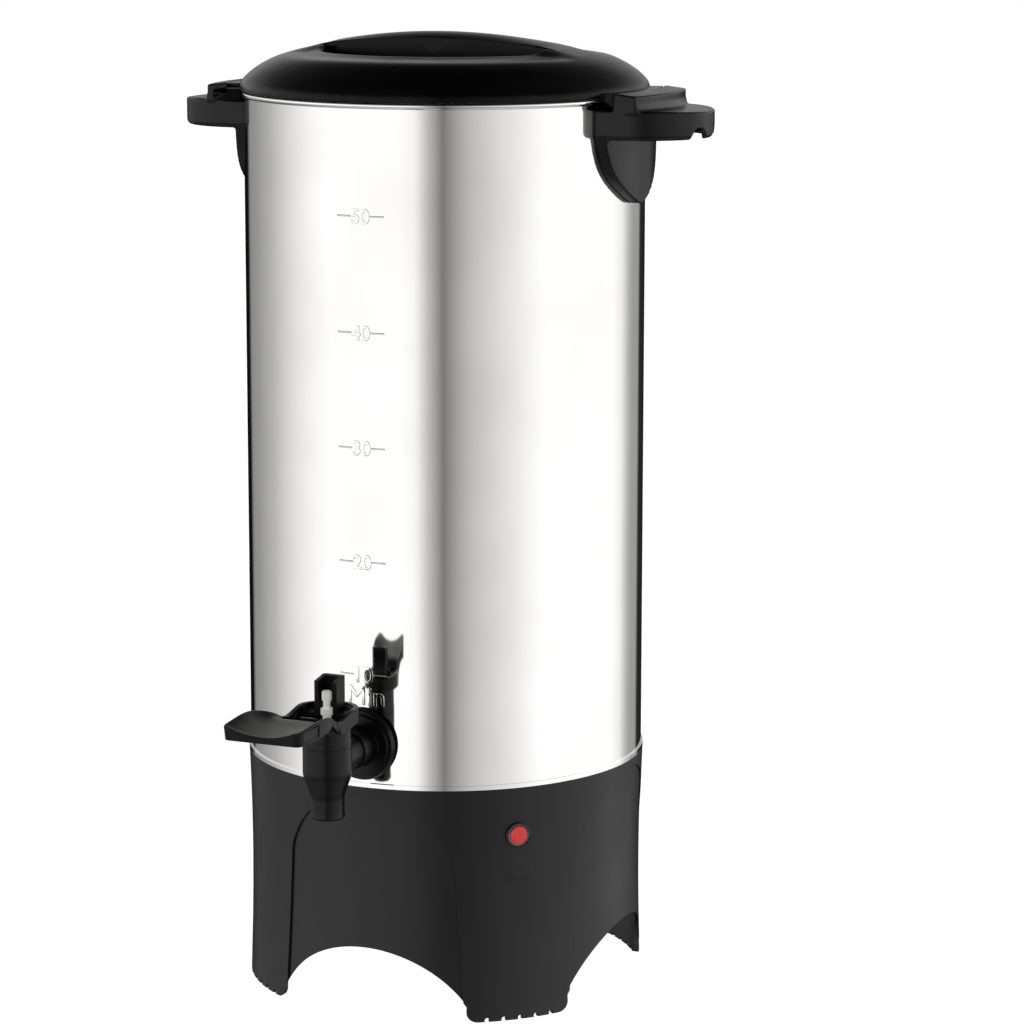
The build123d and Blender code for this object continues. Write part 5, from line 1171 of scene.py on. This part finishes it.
lower, upper = [], []
for i in range(COLUMNS + 1):
    x = TOOL_REACH * (2 * i / COLUMNS - 1)
    line = [TOOL_HALF_W * (2 * j / ROWS - 1) for j in range(ROWS + 1)]
    lower.append([(x * MM, y * MM, bar_top(x, y) * MM) for y in line])
    upper.append([(x * MM, y * MM, (BAR_TOP + TOOL_UP) * MM) for y in line])
combine(lid, slab("crown_tool", upper, lower), "DIFFERENCE")
print(f"bar {bar_top(0, 0):.2f} mm high in the middle, {bar_top(0, BAR_SIDE):.2f} at its sides")

# %% [markdown]
# The cut leaves long thin triangles in the bar's flat sides, and smooth shading would smear the
# light over them. Weighted Normal lets the large faces decide, so the flat sides stay calm.

# %% Lid shading
smooth_shade(lid, 28.0)
lid.modifiers.new("calm flat sides", "WEIGHTED_NORMAL").keep_sharp = True
apply_modifiers(lid)
finish_piece(lid, lid_polypropylene, "lid_shell")

# %% [markdown]
# ## Base
#
# Below the lamp the mould has a blanked-off hole for a second lamp. On the real base it is only
# a faint ring, and the CAD has a deeper groove. So a thin cap with a hairline groove lies over
# it. It is turned flat, and then bent round the skirt, whose slope two rays measure from outside.

# %% Blank below the lamp
BLANK_Z = 72.3 * MM
BLANK_R = 7.2 * MM
BLANK_SPAN = 8.5 * MM  # the skirt is measured this far above and below
RAY_FROM_R = 140 * MM
CAP_UP = 0.07 * MM
GROOVE_UP = 0.045 * MM
skirt = frame["nodes"]["base_skirt"]


def skirt_radius(z):
    """Radius of the skirt's outside beside the lamp, found by a ray from outside."""
    spot = skirt.ray_cast(bearing_point(LAMP_BEARING, RAY_FROM_R, z), -lamp_outwards)[1]
    return hypot(spot.x, spot.y)


low_r, high_r = skirt_radius(BLANK_Z - BLANK_SPAN), skirt_radius(BLANK_Z + BLANK_SPAN)
# the profile is a list of radius and height above the skirt
cap = lathe("lamp_blank", [
    (0.0, -0.3 * MM), (BLANK_R, -0.3 * MM), (BLANK_R, -0.02 * MM), (BLANK_R - 0.6 * MM, 0.05 * MM),
    (5.9 * MM, CAP_UP), (5.75 * MM, GROOVE_UP), (5.6 * MM, CAP_UP), (3.0 * MM, CAP_UP),
    (0.0, CAP_UP)], steps=128)
for vert in cap.data.vertices:
    across, up, out = vert.co
    here = low_r + (high_r - low_r) * (up + BLANK_SPAN) / (2 * BLANK_SPAN)
    vert.co = bearing_point(LAMP_BEARING + across / here, here + out, BLANK_Z + up)
finish_piece(cap, base_polypropylene, "base_skirt", stands_for=False)
print(f"skirt radius beside the blank: {low_r / MM:.2f} to {high_r / MM:.2f} mm")

# %% [markdown]
# ## Floor
#
# The urn stands on a plain white floor that fades into a white backdrop. A bright lamp would
# make the floor white, but it would burn out the steel too. So the floor's own material does it:
# what the camera sees is mostly a plain glow, and the rest is matte, which keeps the soft shadow
# under the feet. The light that the floor throws back comes from the matte part alone. The
# floor is hidden from mirrors, so the steel shows the room and not the floor's edge.

# %% Floor
FLOOR_HALF = 6.0
FLOOR_GLOW = 1.25
GLOW_SHARE = 0.84

floor_white, tree, output = new_material("white_floor")
seen = node(tree, "ShaderNodeLightPath")
matte = node(tree, "ShaderNodeBsdfDiffuse", {"Color": colour("#F4F4F4")})
glow = node(tree, "ShaderNodeEmission", {"Color": (1, 1, 1, 1), "Strength": FLOOR_GLOW})
share = node(tree, "ShaderNodeMath", {
    0: seen.outputs["Is Camera Ray"], 1: GLOW_SHARE}, operation="MULTIPLY")
mix = node(tree, "ShaderNodeMixShader", {
    0: share.outputs["Value"], 1: matte.outputs["BSDF"], 2: glow.outputs["Emission"]})
tree.links.new(mix.outputs["Shader"], output.inputs["Surface"])
floor = new_piece("floor", [
    (-FLOOR_HALF, -FLOOR_HALF, 0), (FLOOR_HALF, -FLOOR_HALF, 0),
    (FLOOR_HALF, FLOOR_HALF, 0), (-FLOOR_HALF, FLOOR_HALF, 0)], [(0, 1, 2, 3)])
floor.data.materials.append(floor_white)
floor.visible_glossy = False
print(f"floor {2 * FLOOR_HALF:.0f} m across")
